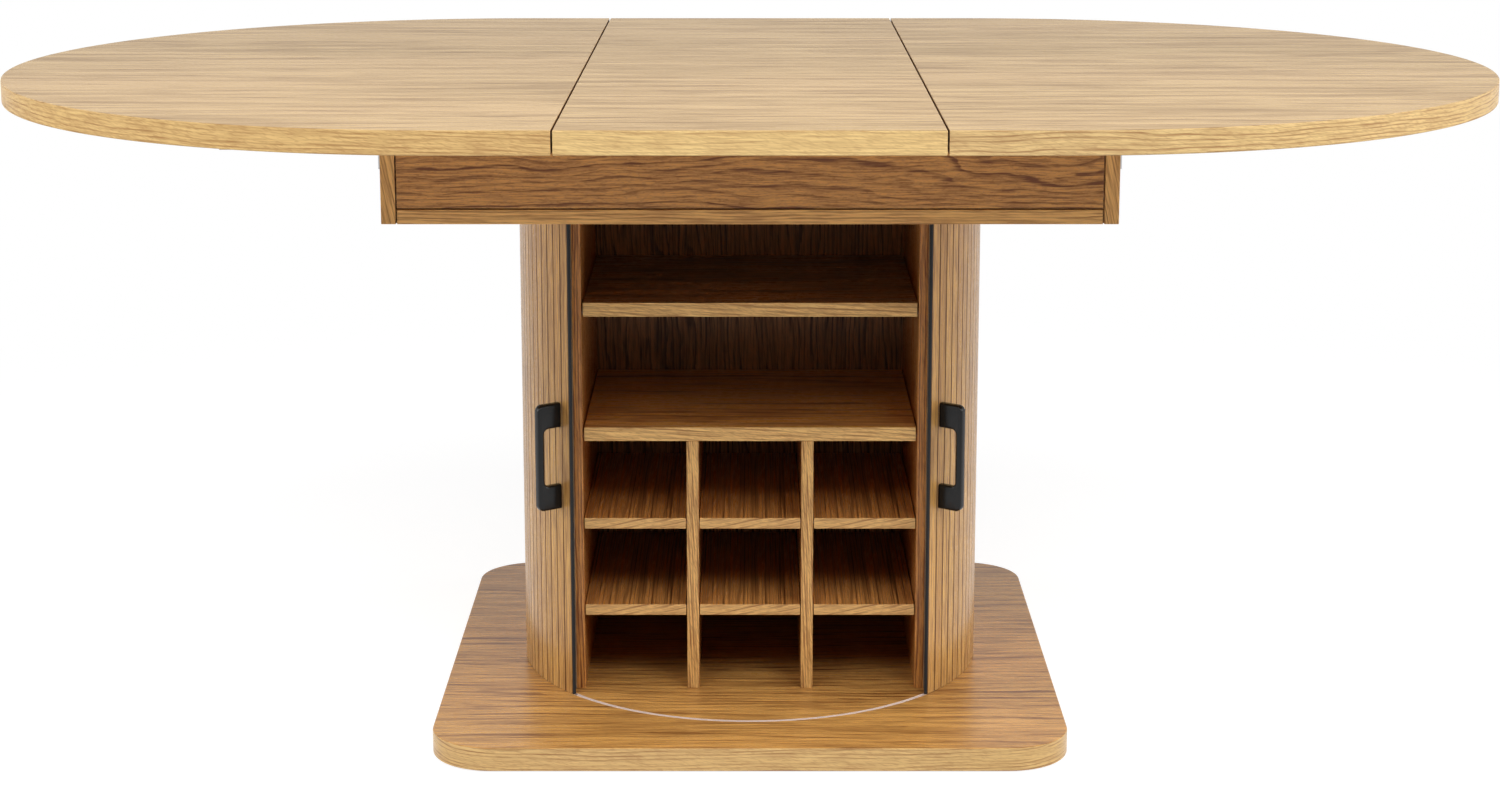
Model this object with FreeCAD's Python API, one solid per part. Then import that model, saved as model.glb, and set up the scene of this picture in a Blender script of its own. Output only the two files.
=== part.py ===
import FreeCAD, Part
import math
import os

from FreeCAD import Vector

# Extending dining table on a round cabinet pedestal with two sliding tambour doors.
# Millimetres. Origin on the floor under the centre, +X along the table, front towards -Y, +Z up.
# The two half tops are drawn apart, the extension leaf lies between them, and both doors are open.

# ---- Table top -------------------------------------------------------------------------------
TOP_THICKNESS = 26.0
TOP_DEPTH = 1203.0
HALF_TOP_STRAIGHT = 113.2
END_REACH = 580.0
LEAF_WIDTH = 400.0
SEAM_GAP = 1.8
TOP_ARRIS = 1.3

# ---- Runner box under the top ----------------------------------------------------------------
BOX_LENGTH = 818.0
BOX_DEPTH = 700.0
BOX_HEIGHT = 112.7
BOX_BOARD = 16.4
SHADOW_GAP = 1.5
SHADOW_DEPTH = 7.0
CROSS_RAIL = 16.4
CORNER_BLOCK = 40.0
CORNER_BLOCK_CLEARANCE = 16.0

# ---- Runner bars that carry the half tops -----------------------------------------------------
RUNNER_WIDTH = 22.0
RUNNER_HEIGHT = 32.0
RUNNER_PAIR_GAP = 4.0
RUNNER_REACH_OUT = 180.0
RUNNER_REACH_IN = 150.0
RUNNER_RELIEF = 4.0
RELIEF_PAST_LEAF = 20.0
RUNNER_SIDE_CLEARANCE = 0.5
RUNNER_BASE_CLEARANCE = 0.3
RUNNER_WALL_GAP = 1.6
OUTWARD_TRAVEL = 50.0
STOP_PIN_RADIUS = 4.0
STOP_PIN_DROP = 9.0
STOP_PIN_DEPTH = 24.0
STRAP_WIDTH = 20.0
STRAP_THICKNESS = 3.0
STRAP_OVERLAP = 37.0
STRAP_POCKET = 8.6
STRAP_CLEARANCE = 0.5
STRAP_SCREW_INSET = 8.0
KEEPER_THICKNESS = 1.5
KEEPER_INSET = 1.0
KEEPER_BELOW_RUNNER = 18.7
KEEPER_PAST_RUNNER = 13.5
KEEPER_SCREW_INSET = 7.0

# ---- Base plate ------------------------------------------------------------------------------
BASE_LENGTH = 742.0
BASE_DEPTH = 742.0
BASE_THICKNESS = 28.0
BASE_CORNER_RADIUS = 74.0
GLIDE_HEIGHT = 2.0
GLIDE_RADIUS = 15.0
GLIDE_INSET = 45.0
GLIDE_NAIL_RADIUS = 1.5
GLIDE_NAIL_LENGTH = 15.0

# ---- Cabinet carcass --------------------------------------------------------------------------
INNER_WIDTH = 400.2
PANEL_THICKNESS = 16.0
CARCASS_DEPTH = 327.4
BACK_THICKNESS = 10.0
SHELF_THICKNESS = 17.0
RACK_SHELF_THICKNESS = 13.5
DIVIDER_THICKNESS = 14.5
MIDDLE_CELL_WIDTH = 123.2
RACK_CELL_HEIGHTS = (92.8, 94.8, 95.2)
LOWER_BAY_HEIGHT = 134.8
UPPER_BAY_HEIGHT = 125.7
SHELF_END_CLEARANCE = 1.8
RACK_END_CLEARANCE = 0.9
SHELF_BACK_CLEARANCE = 1.5
BOARD_ARRIS = 0.8
SHELF_PIN_RADIUS = 2.5
SHELF_PIN_PROUD = 7.0
SHELF_PIN_DEPTH = 9.0
SHELF_PIN_END_DISTANCE = 42.0

# ---- Tambour doors ----------------------------------------------------------------------------
DOOR_CLEARANCE = 6.4
DOOR_THICKNESS = 6.5
BACKING_THICKNESS = 0.6
SLAT_COUNT = 44
SLAT_GAP = 0.5
SLAT_ARRIS = 0.7
REAR_HALF_GAP_ANGLE = 0.35
EDGE_STRIP_THICKNESS = 1.6
EDGE_STRIP_SETBACK = 2.6
DOOR_END_CLEARANCE = 0.4
TONGUE_THICKNESS = 2.8
TRACK_WIDTH = 5.2
TRACK_DEPTH = 6.0
TRACK_FLOOR = 1.0
TONGUE_SIDE_CLEARANCE = 0.3
TONGUE_END_CLEARANCE = 0.4
TRACK_FIT = 0.05

# ---- Door handles -----------------------------------------------------------------------------
HANDLE_LENGTH = 130.0
HANDLE_RISE = 229.0
HANDLE_PROJECTION = 30.0
HANDLE_WIDTH = 10.5
HANDLE_GRIP = 8.0
HANDLE_FOOT = 30.0
HANDLE_OUTER_RADIUS = 6.0
HANDLE_INNER_RADIUS = 5.0
HANDLE_ARRIS = 1.6
HANDLE_SLAT = 1
HANDLE_SCREW_RADIUS = 2.0
HANDLE_SCREW_HEAD_RADIUS = 3.75
HANDLE_SCREW_HEAD_HEIGHT = 2.0
HANDLE_SCREW_HEAD_ARRIS = 0.7
HANDLE_SCREW_BITE = 12.0

# ---- Fasteners ----------------------------------------------------------------------------------
FASTENER_CLEARANCE = 0.05
SCREW_RADIUS = 2.5
SCREW_HEAD_RADIUS = 5.0
BASE_SCREW_LENGTH = 60.0
BOX_SCREW_LENGTH = 50.0
CARCASS_SCREW_LENGTH = 45.0
RUNNER_SCREW_LENGTH = 45.0
RUNNER_SCREW_INSET = 40.0
SMALL_SCREW_RADIUS = 1.75
SMALL_SCREW_HEAD_RADIUS = 3.5
SMALL_SCREW_LENGTH = 14.0
PANEL_SCREW_INSET = 54.5
DIVIDER_SCREW_INSET = 80.0
BACK_SCREW_INSET = 120.0
SOCKET_RATIO = 0.45
SOCKET_SIDES = 6
DOWEL_RADIUS = 4.0
DOWEL_LENGTH = 30.0
DOWEL_DEPTH_IN_END = 12.0
DOWEL_RISE = 14.0
DOWEL_DROP = 18.0

# ---- Heights and places worked out from the sizes above -----------------------------------------
ORIGIN = Vector(0, 0, 0)
UP = Vector(0, 0, 1)
ALONG = Vector(1, 0, 0)
FRONT, BACK, LEFT, RIGHT, DOWNWARDS, UPWARDS = -1, 1, -1, 1, -1, 1
TOLERANCE = 1e-4

base_top = GLIDE_HEIGHT + BASE_THICKNESS
rack_lower_underside = base_top + RACK_CELL_HEIGHTS[0]
rack_upper_underside = rack_lower_underside + RACK_SHELF_THICKNESS + RACK_CELL_HEIGHTS[1]
rack_top_underside = rack_upper_underside + RACK_SHELF_THICKNESS + RACK_CELL_HEIGHTS[2]
rack_top = rack_top_underside + SHELF_THICKNESS
upper_shelf_underside = rack_top + LOWER_BAY_HEIGHT
box_bottom = upper_shelf_underside + SHELF_THICKNESS + UPPER_BAY_HEIGHT
box_floor_top = box_bottom + BOX_BOARD
top_underside = box_bottom + BOX_HEIGHT
table_height = top_underside + TOP_THICKNESS

half_top_inner = LEAF_WIDTH / 2 + SEAM_GAP
round_start = half_top_inner + HALF_TOP_STRAIGHT
half_top_outer = round_start + END_REACH

box_half_x = BOX_LENGTH / 2
box_half_y = BOX_DEPTH / 2
box_inner_x = box_half_x - BOX_BOARD
box_inner_y = box_half_y - BOX_BOARD

runner_bottom = top_underside - RUNNER_HEIGHT
runner_rest = runner_bottom - RUNNER_BASE_CLEARANCE
runner_relieved_top = top_underside - RUNNER_RELIEF
runner_relief_end = half_top_inner + RELIEF_PAST_LEAF
outer_line = box_inner_y - RUNNER_WALL_GAP - RUNNER_WIDTH / 2
inner_line = outer_line - RUNNER_WIDTH - RUNNER_PAIR_GAP
rail_step = inner_line - RUNNER_WIDTH / 2 - RUNNER_SIDE_CLEARANCE
strap_bottom = runner_relieved_top + STRAP_CLEARANCE
strap_top = strap_bottom + STRAP_THICKNESS
strap_start = rail_step - STRAP_OVERLAP
strap_end = box_inner_y + STRAP_POCKET - FASTENER_CLEARANCE
keeper_bottom = runner_rest - KEEPER_BELOW_RUNNER
keeper_start = rail_step - KEEPER_PAST_RUNNER
keeper_end = box_half_y - KEEPER_INSET

carcass_front = -CARCASS_DEPTH / 2
carcass_back = CARCASS_DEPTH / 2
back_panel_face = carcass_back - BACK_THICKNESS
shelf_back = back_panel_face - SHELF_BACK_CLEARANCE
panel_inner = INNER_WIDTH / 2
panel_outer = panel_inner + PANEL_THICKNESS
panel_middle = (panel_inner + panel_outer) / 2
divider_inner = MIDDLE_CELL_WIDTH / 2
divider_outer = divider_inner + DIVIDER_THICKNESS
divider_middle = (divider_inner + divider_outer) / 2

door_inner_radius = math.hypot(panel_outer, carcass_back) + DOOR_CLEARANCE
door_radius = door_inner_radius + DOOR_THICKNESS
slat_inner_radius = door_inner_radius + BACKING_THICKNESS
track_radius = (door_inner_radius + door_radius) / 2
door_bottom = base_top + DOOR_END_CLEARANCE
door_top = box_bottom - DOOR_END_CLEARANCE
open_half_angle = math.degrees(math.asin((panel_outer - EDGE_STRIP_SETBACK) / door_radius))
strip_angle = math.degrees(EDGE_STRIP_THICKNESS / track_radius)
slat_start_angle = open_half_angle + strip_angle
slat_end_angle = 180 - REAR_HALF_GAP_ANGLE - strip_angle
slat_pitch = (slat_end_angle - slat_start_angle) / SLAT_COUNT
handle_angle = slat_start_angle + (HANDLE_SLAT + 0.5) * slat_pitch
handle_face = door_radius * math.cos(math.radians(slat_pitch / 2))
handle_bottom = base_top + HANDLE_RISE
handle_top = handle_bottom + HANDLE_LENGTH

nodes = {}


# ---- Shape helpers ------------------------------------------------------------------------------
def box(*limits):
    """A plain box between two values of x, two of y and two of z, each pair in either order."""
    lows = [min(pair) for pair in zip(limits[::2], limits[1::2])]
    highs = [max(pair) for pair in zip(limits[::2], limits[1::2])]
    size = Vector(*highs) - Vector(*lows)
    return Part.makeBox(size.x, size.y, size.z, Vector(*lows))


def board(*limits, arris=BOARD_ARRIS):
    """A board with all its edges eased, between the same six values as a box."""
    blank = box(*limits)
    return blank.makeFillet(arris, blank.Edges)


def edges_in_plane(shape, axis, value):
    """The edges of a shape that lie in the plane where the axis (0, 1 or 2) has this value."""
    found = []
    for edge in shape.Edges:
        bounds = edge.BoundBox
        low = (bounds.XMin, bounds.YMin, bounds.ZMin)[axis]
        high = (bounds.XMax, bounds.YMax, bounds.ZMax)[axis]
        if abs(low - value) < TOLERANCE and abs(high - value) < TOLERANCE:
            found.append(edge)
    return found


def level(edges):
    """Those of the edges that run level."""
    return [edge for edge in edges if edge.BoundBox.ZLength < TOLERANCE]


def aim(shape, place, direction):
    """Turn a shape built along +Z to the direction and move it to the place."""
    turned = shape.copy()
    turned.Placement = FreeCAD.Placement(place, FreeCAD.Rotation(UP, direction))
    return turned


def cylinder(radius, length, place, direction):
    """A cylinder from the place along the direction."""
    return Part.makeCylinder(radius, length, place, direction)


def countersunk_body(radius, head_radius, length, grow=0.0):
    """A countersunk screw's outside along +Z, its head's flat face at z = 0, grown for its hole."""
    head_height = head_radius - radius
    head = Part.makeCone(head_radius + grow, radius + grow, head_height)
    return head.fuse(cylinder(radius + grow, length + grow, ORIGIN, UP)).removeSplitter()


def socket(head_radius):
    """The hexagonal key socket in a screw's head."""
    reach = head_radius * SOCKET_RATIO
    corners = []
    for corner in range(SOCKET_SIDES + 1):
        turn = 2 * math.pi * corner / SOCKET_SIDES
        corners.append(Vector(reach * math.cos(turn), reach * math.sin(turn), 0))
    return Part.Face(Part.makePolygon(corners)).extrude(Vector(0, 0, reach))


class Screw:
    """A countersunk screw and the hole it needs, head flush at the place, pointing along the direction."""

    def __init__(self, place, direction, length=BASE_SCREW_LENGTH, small=False):
        radius = SMALL_SCREW_RADIUS if small else SCREW_RADIUS
        head_radius = SMALL_SCREW_HEAD_RADIUS if small else SCREW_HEAD_RADIUS
        body = countersunk_body(radius, head_radius, length).cut(socket(head_radius))
        self.solid = aim(body, place, direction)
        hole = countersunk_body(radius, head_radius, length, FASTENER_CLEARANCE)
        self.hole = aim(hole, place, direction)


def drill(shape, fasteners):
    """Cut every fastener's hole that reaches into the shape."""
    holes = [f.hole for f in fasteners if f.hole.BoundBox.intersect(shape.BoundBox)]
    return shape.cut(holes) if holes else shape


def group(fasteners):
    """Separate solids in one node."""
    return Part.makeCompound([f.solid for f in fasteners])


class Pin:
    """A plain round pin or dowel and its hole, centred on the place."""

    def __init__(self, place, direction, radius, length):
        start = place - direction * (length / 2)
        self.solid = cylinder(radius, length, start, direction)
        grown = length + 2 * FASTENER_CLEARANCE
        start = place - direction * (grown / 2)
        self.hole = cylinder(radius + FASTENER_CLEARANCE, grown, start, direction)


def arc_point(radius, angle):
    """A point on a circle about Z, the angle in degrees from the front towards the left."""
    turn = math.radians(angle)
    return Vector(-radius * math.sin(turn), -radius * math.cos(turn), 0)


def ring_sector(r0, r1, a0, a1, z0, z1):
    """A curved wall between two radii and two angles."""
    middle = (a0 + a1) / 2
    outer = Part.Arc(arc_point(r1, a0), arc_point(r1, middle), arc_point(r1, a1)).toShape()
    inner = Part.Arc(arc_point(r0, a1), arc_point(r0, middle), arc_point(r0, a0)).toShape()
    far = Part.makeLine(arc_point(r1, a1), arc_point(r0, a1))
    near = Part.makeLine(arc_point(r0, a0), arc_point(r1, a0))
    face = Part.Face(Part.Wire([outer, far, inner, near]))
    face.translate(Vector(0, 0, z0))
    return face.extrude(Vector(0, 0, z1 - z0))


def to_angle(shape, angle):
    """Swing a shape built at the front round to an angle on the left."""
    swung = shape.copy()
    swung.rotate(ORIGIN, UP, -angle)
    return swung


def mirrored(shape):
    """The same shape on the other side of the table's middle plane."""
    return shape.mirror(ORIGIN, Vector(1, 0, 0))


# ---- Table top ----------------------------------------------------------------------------------
def rounded_end():
    """The half-ellipse end of the top, from its straight stretch round and back."""
    half_depth = TOP_DEPTH / 2
    centre = Vector(round_start, 0, 0)
    tip = Vector(half_top_outer, 0, 0)
    shoulder = centre + Vector(0, half_depth, 0)
    if half_depth > END_REACH:
        return Part.Arc(Part.Ellipse(shoulder, tip, centre), 0, math.pi).toShape()
    return Part.Arc(Part.Ellipse(tip, shoulder, centre), -math.pi / 2, math.pi / 2).toShape()


def half_top():
    """Right half of the top: straight by the seam, then a half-ellipse end."""
    shoulders = [Vector(round_start, end * TOP_DEPTH / 2, 0) for end in (FRONT, BACK)]
    seam = [Vector(half_top_inner, end * TOP_DEPTH / 2, 0) for end in (FRONT, BACK)]
    edges = [rounded_end(), Part.makeLine(seam[0], seam[1])]
    edges += [Part.makeLine(seam[i], shoulders[i]) for i in (0, 1)]
    outline = Part.Face(Part.Wire(Part.__sortEdges__(edges)))
    outline.translate(Vector(0, 0, top_underside))
    slab = outline.extrude(Vector(0, 0, TOP_THICKNESS))
    arrises = edges_in_plane(slab, 2, top_underside) + edges_in_plane(slab, 2, table_height)
    return slab.makeFillet(TOP_ARRIS, arrises)


def leaf():
    """The loose extension leaf between the half tops."""
    half = LEAF_WIDTH / 2
    return board(-half, half, -TOP_DEPTH / 2, TOP_DEPTH / 2, top_underside, table_height,
                 arris=TOP_ARRIS)


# ---- Runner bars --------------------------------------------------------------------------------
def runner(line):
    """Right-hand runner bar along one line, relieved on top where it passes under the leaf."""
    inner_end = -RUNNER_REACH_IN
    outer_end = box_half_x + RUNNER_REACH_OUT
    bar = board(inner_end, outer_end, line - RUNNER_WIDTH / 2, line + RUNNER_WIDTH / 2,
                runner_bottom, top_underside)
    relief = box(inner_end, runner_relief_end, line - RUNNER_WIDTH, line + RUNNER_WIDTH,
                 runner_relieved_top, top_underside)
    return bar.cut(relief)


def runner_screws(line):
    """Three screws that hold a runner bar up against the half top."""
    start = runner_relief_end + RUNNER_SCREW_INSET
    end = box_half_x + RUNNER_REACH_OUT - RUNNER_SCREW_INSET
    places = [start, (start + end) / 2, end]
    return [Screw(Vector(x, line, runner_bottom), UP, RUNNER_SCREW_LENGTH) for x in places]


def stop_pin(line):
    """Dowel under a runner's inner end that meets the cross rail when the half top is drawn out."""
    reach = CROSS_RAIL / 2 + OUTWARD_TRAVEL + STOP_PIN_RADIUS + RUNNER_BASE_CLEARANCE
    length = STOP_PIN_DROP + STOP_PIN_DEPTH
    middle = runner_bottom - STOP_PIN_DROP + length / 2
    return Pin(Vector(-reach, line, middle), UP, STOP_PIN_RADIUS, length)


def top_half_nodes(name, turn):
    """One half top with its two runner bars; the left one is the right one turned half round."""
    front_line, back_line = -inner_line, outer_line
    lines = {"front": front_line, "back": back_line}
    if turn:
        lines = {"front": back_line, "back": front_line}
    screws = runner_screws(front_line) + runner_screws(back_line)
    pins = [stop_pin(front_line), stop_pin(back_line)]
    made = {f"{name}_top_panel": drill(half_top(), screws)}
    for place, line in lines.items():
        made[f"{name}_runner_{place}"] = drill(runner(line), screws + pins)
    made[f"{name}_runner_screws"] = group(screws)
    made[f"{name}_stop_pins"] = group(pins)
    for node, shape in made.items():
        if turn:
            shape = shape.copy()
            shape.rotate(ORIGIN, UP, 180)
        nodes[node] = shape


# ---- Runner box ---------------------------------------------------------------------------------
def runner_lines(side):
    """Y of the two runner bars that pass through the end board on one side."""
    lines = (-inner_line, outer_line)
    return lines if side == RIGHT else (inner_line, -outer_line)


def box_dowels():
    """Dowels that join the front and back boards to the end boards."""
    made = []
    centre = box_inner_x + DOWEL_DEPTH_IN_END - DOWEL_LENGTH / 2
    for side in (LEFT, RIGHT):
        for face in (FRONT, BACK):
            for z in (box_floor_top + DOWEL_RISE, top_underside - DOWEL_DROP):
                place = Vector(side * centre, face * (box_half_y - BOX_BOARD / 2), z)
                made.append(Pin(place, ALONG, DOWEL_RADIUS, DOWEL_LENGTH))
    return made


def box_screws():
    """Screws down through the box floor into the tops of the side panels."""
    reach = carcass_back - PANEL_SCREW_INSET
    made = []
    for side in (LEFT, RIGHT):
        for y in (-reach, 0, reach):
            place = Vector(side * panel_middle, y, box_floor_top)
            made.append(Screw(place, -UP, BOX_SCREW_LENGTH))
    return made


def keeper_screws():
    """Short screws that hold the keeper plates on the end boards."""
    z = (runner_rest + keeper_bottom) / 2
    made = []
    for side in (LEFT, RIGHT):
        x = side * (box_half_x + KEEPER_THICKNESS)
        for end in (FRONT, BACK):
            for y in (keeper_start + KEEPER_SCREW_INSET, keeper_end - KEEPER_SCREW_INSET):
                place = Vector(x, end * y, z)
                made.append(Screw(place, ALONG * -side, SMALL_SCREW_LENGTH, small=True))
    return made


def strap_screws():
    """Two screws into the cross rail and one into the box board for each hold-down strap."""
    in_rail = (strap_start + STRAP_SCREW_INSET, rail_step - STRAP_SCREW_INSET)
    made = []
    for face in (FRONT, BACK):
        for y in in_rail + (box_inner_y + STRAP_POCKET / 2,):
            place = Vector(0, face * y, strap_top)
            made.append(Screw(place, -UP, SMALL_SCREW_LENGTH, small=True))
    return made


def floor_board(screws):
    """Bottom of the box, with the upper track's groove in its underside."""
    plate = box(-box_inner_x, box_inner_x, -box_half_y, box_half_y, box_bottom, box_floor_top)
    for side in (LEFT, RIGHT):
        for face in (FRONT, BACK):
            x, y = side * box_inner_x, face * box_half_y
            plate = plate.cut(box(x, x - side * SHADOW_GAP, y, y - face * SHADOW_DEPTH,
                                  box_bottom, box_floor_top))
    faces = edges_in_plane(plate, 1, -box_half_y) + edges_in_plane(plate, 1, box_half_y)
    plate = plate.makeFillet(BOARD_ARRIS, faces)
    return drill(plate.cut(track_groove(box_bottom, UPWARDS)), screws)


def long_board(face, dowels, screws):
    """Front or back board, with a shadow gap at both ends and along its bottom."""
    y_out = face * box_half_y
    y_in = face * box_inner_y
    y_step = y_out - face * SHADOW_DEPTH
    blank = box(-box_inner_x, box_inner_x, y_out, y_in, box_floor_top, top_underside)
    rebates = [box(-box_inner_x, box_inner_x, y_out, y_step, box_floor_top, box_floor_top + SHADOW_GAP)]
    for side in (LEFT, RIGHT):
        x = side * box_inner_x
        rebates.append(box(x, x - side * SHADOW_GAP, y_out, y_step, box_floor_top, top_underside))
    blank = blank.cut(rebates)
    blank = blank.makeFillet(BOARD_ARRIS, edges_in_plane(blank, 1, y_out))
    half = STRAP_WIDTH / 2 + FASTENER_CLEARANCE
    pocket = box(-half, half, y_in, y_in + face * STRAP_POCKET, strap_bottom, top_underside)
    return drill(blank.cut(pocket), dowels + screws)


def end_board(side, dowels, screws):
    """End board, notched in its top edge for the two runner bars that pass through it."""
    blank = board(side * box_inner_x, side * box_half_x, -box_half_y, box_half_y,
                  box_bottom, top_underside)
    notches = [notch(side, line) for line in runner_lines(side)]
    return drill(blank.cut(notches), dowels + screws)


def notch(side, line):
    """Space for one runner bar through an end board and its keeper plate."""
    half = RUNNER_WIDTH / 2 + RUNNER_SIDE_CLEARANCE
    return box(side * box_inner_x, side * (box_half_x + KEEPER_THICKNESS), line - half, line + half,
               runner_rest, top_underside)


def keeper_plates(side, screws):
    """Steel plates round the runner bars on the outside of an end board."""
    notches = [notch(side, line) for line in runner_lines(side)]
    plates = []
    for end in (FRONT, BACK):
        plate = box(side * box_half_x, side * (box_half_x + KEEPER_THICKNESS), end * keeper_start,
                    end * keeper_end, keeper_bottom, top_underside - KEEPER_INSET)
        plates.append(drill(plate.cut(notches), screws))
    return Part.makeCompound(plates)


def cross_rail(screws):
    """Rail across the box's middle, stepped down at both ends to carry the runner bars."""
    half = CROSS_RAIL / 2
    rail = board(-half, half, -box_inner_y, box_inner_y, box_floor_top, top_underside)
    cuts = []
    for face in (FRONT, BACK):
        end = face * box_inner_y
        cuts.append(box(-half, half, face * rail_step, end, runner_rest, top_underside))
        cuts.append(box(-half, half, face * (strap_start - FASTENER_CLEARANCE), end,
                        strap_bottom, top_underside))
    return drill(rail.cut(cuts), screws)


def hold_down_straps(screws):
    """Steel straps over the runner bars at the cross rail."""
    half = STRAP_WIDTH / 2
    straps = []
    for face in (FRONT, BACK):
        strap = box(-half, half, face * strap_start, face * strap_end, strap_bottom, strap_top)
        straps.append(drill(strap, screws))
    return Part.makeCompound(straps)


def corner_blocks():
    """Glued blocks in the box's four corners, below the runner bars."""
    blocks = []
    for side in (LEFT, RIGHT):
        for face in (FRONT, BACK):
            x, y = side * box_inner_x, face * box_inner_y
            blocks.append(board(x, x - side * CORNER_BLOCK, y, y - face * CORNER_BLOCK,
                                box_floor_top, runner_rest - CORNER_BLOCK_CLEARANCE))
    return Part.makeCompound(blocks)


def runner_box_nodes():
    """The box that carries the top and guides the runner bars."""
    dowels = box_dowels()
    floor_screws = box_screws()
    plate_screws = keeper_screws()
    straps = strap_screws()
    nodes["box_floor_board"] = floor_board(floor_screws)
    nodes["box_front_board"] = long_board(FRONT, dowels, straps)
    nodes["box_back_board"] = long_board(BACK, dowels, straps)
    nodes["box_left_end_board"] = end_board(LEFT, dowels, plate_screws)
    nodes["box_right_end_board"] = end_board(RIGHT, dowels, plate_screws)
    nodes["left_keeper_plates"] = keeper_plates(LEFT, plate_screws)
    nodes["right_keeper_plates"] = keeper_plates(RIGHT, plate_screws)
    nodes["keeper_screws"] = group(plate_screws)
    nodes["box_cross_rail"] = cross_rail(straps)
    nodes["hold_down_straps"] = hold_down_straps(straps)
    nodes["strap_screws"] = group(straps)
    nodes["box_corner_blocks"] = corner_blocks()
    nodes["box_dowels"] = group(dowels)
    nodes["box_screws"] = group(floor_screws)


# ---- Tracks ---------------------------------------------------------------------------------------
def ring(r0, r1, z0, z1):
    """A full ring about Z with a rectangular section."""
    corners = [Vector(r0, 0, z0), Vector(r1, 0, z0), Vector(r1, 0, z1), Vector(r0, 0, z1)]
    section = Part.Face(Part.makePolygon(corners + corners[:1]))
    return section.revolve(ORIGIN, UP, 360)


def track_groove(mouth, into):
    """The groove that a track is pressed into, from its mouth's z upwards or downwards."""
    half = TRACK_WIDTH / 2 + TRACK_FIT
    return ring(track_radius - half, track_radius + half, mouth, mouth + into * TRACK_DEPTH)


def track(mouth, into):
    """A U-section plastic track ring for the tongues of the slats."""
    half = TRACK_WIDTH / 2
    slot = TONGUE_THICKNESS / 2 + TONGUE_SIDE_CLEARANCE
    body = ring(track_radius - half, track_radius + half, mouth, mouth + into * TRACK_DEPTH)
    hollow = ring(track_radius - slot, track_radius + slot, mouth,
                  mouth + into * (TRACK_DEPTH - TRACK_FLOOR))
    return body.cut(hollow)


# ---- Pedestal ---------------------------------------------------------------------------------------
def base_screws():
    """Screws up through the base plate into the side panels and the dividers."""
    panel_reach = carcass_back - PANEL_SCREW_INSET
    divider_reach = carcass_back - DIVIDER_SCREW_INSET
    made = []
    for side in (LEFT, RIGHT):
        for y in (-panel_reach, 0, panel_reach):
            made.append(Screw(Vector(side * panel_middle, y, GLIDE_HEIGHT), UP))
        for y in (-divider_reach, divider_reach):
            made.append(Screw(Vector(side * divider_middle, y, GLIDE_HEIGHT), UP))
    return made


def carcass_screws():
    """Screws through the side panels into the back panel's edges."""
    lowest, highest = base_top + BACK_SCREW_INSET, box_bottom - BACK_SCREW_INSET
    made = []
    for side in (LEFT, RIGHT):
        for z in (lowest, (lowest + highest) / 2, highest):
            place = Vector(side * panel_outer, carcass_back - BACK_THICKNESS / 2, z)
            made.append(Screw(place, ALONG * -side, CARCASS_SCREW_LENGTH, small=True))
    return made


def floor_glides():
    """Nailed glides under the base plate, three by three."""
    made = []
    reach_x = BASE_LENGTH / 2 - GLIDE_INSET
    reach_y = BASE_DEPTH / 2 - GLIDE_INSET
    for x in (-reach_x, 0, reach_x):
        for y in (-reach_y, 0, reach_y):
            foot = cylinder(GLIDE_RADIUS, GLIDE_HEIGHT, Vector(x, y, 0), UP)
            foot = foot.makeFillet(BOARD_ARRIS, edges_in_plane(foot, 2, 0))
            nail = cylinder(GLIDE_NAIL_RADIUS, GLIDE_HEIGHT + GLIDE_NAIL_LENGTH, Vector(x, y, 0), UP)
            glide = Pin(Vector(x, y, GLIDE_HEIGHT + GLIDE_NAIL_LENGTH / 2), UP,
                        GLIDE_NAIL_RADIUS, GLIDE_NAIL_LENGTH)
            glide.solid = foot.fuse(nail).removeSplitter()
            made.append(glide)
    return made


def base_plate(screws, glides):
    """Square base plate with rounded corners and the lower track's groove."""
    plate = box(-BASE_LENGTH / 2, BASE_LENGTH / 2, -BASE_DEPTH / 2, BASE_DEPTH / 2,
                GLIDE_HEIGHT, base_top)
    upright = [e for e in plate.Edges if abs(e.tangentAt(e.FirstParameter).z) > 0.99]
    plate = plate.makeFillet(BASE_CORNER_RADIUS, upright)
    arrises = edges_in_plane(plate, 2, GLIDE_HEIGHT) + edges_in_plane(plate, 2, base_top)
    plate = plate.makeFillet(TOP_ARRIS, arrises)
    return drill(plate.cut(track_groove(base_top, DOWNWARDS)), screws + glides)


def shelf_pins():
    """Pins under the shelves: short ones in the side panels, through ones in the dividers."""
    made = []
    panel_length = SHELF_PIN_PROUD + SHELF_PIN_DEPTH
    panel_centre = panel_inner - SHELF_PIN_PROUD + panel_length / 2
    divider_length = DIVIDER_THICKNESS + 2 * SHELF_PIN_PROUD
    rack_levels = (rack_lower_underside, rack_upper_underside)
    for y in (carcass_front + SHELF_PIN_END_DISTANCE, shelf_back - SHELF_PIN_END_DISTANCE):
        for side in (LEFT, RIGHT):
            for underside in rack_levels + (rack_top_underside, upper_shelf_underside):
                place = Vector(side * panel_centre, y, underside - SHELF_PIN_RADIUS)
                made.append(Pin(place, ALONG, SHELF_PIN_RADIUS, panel_length))
            for underside in rack_levels:
                place = Vector(side * divider_middle, y, underside - SHELF_PIN_RADIUS)
                made.append(Pin(place, ALONG, SHELF_PIN_RADIUS, divider_length))
    return made


def side_panel(side, fasteners):
    """Side of the cabinet, from the base plate to the box floor."""
    panel = board(side * panel_inner, side * panel_outer, carcass_front, carcass_back,
                  base_top, box_bottom)
    return drill(panel, fasteners)


def divider(side, fasteners):
    """Upright divider of the bottle rack."""
    upright = board(side * divider_inner, side * divider_outer, carcass_front, shelf_back,
                    base_top, rack_top_underside)
    return drill(upright, fasteners)


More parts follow.
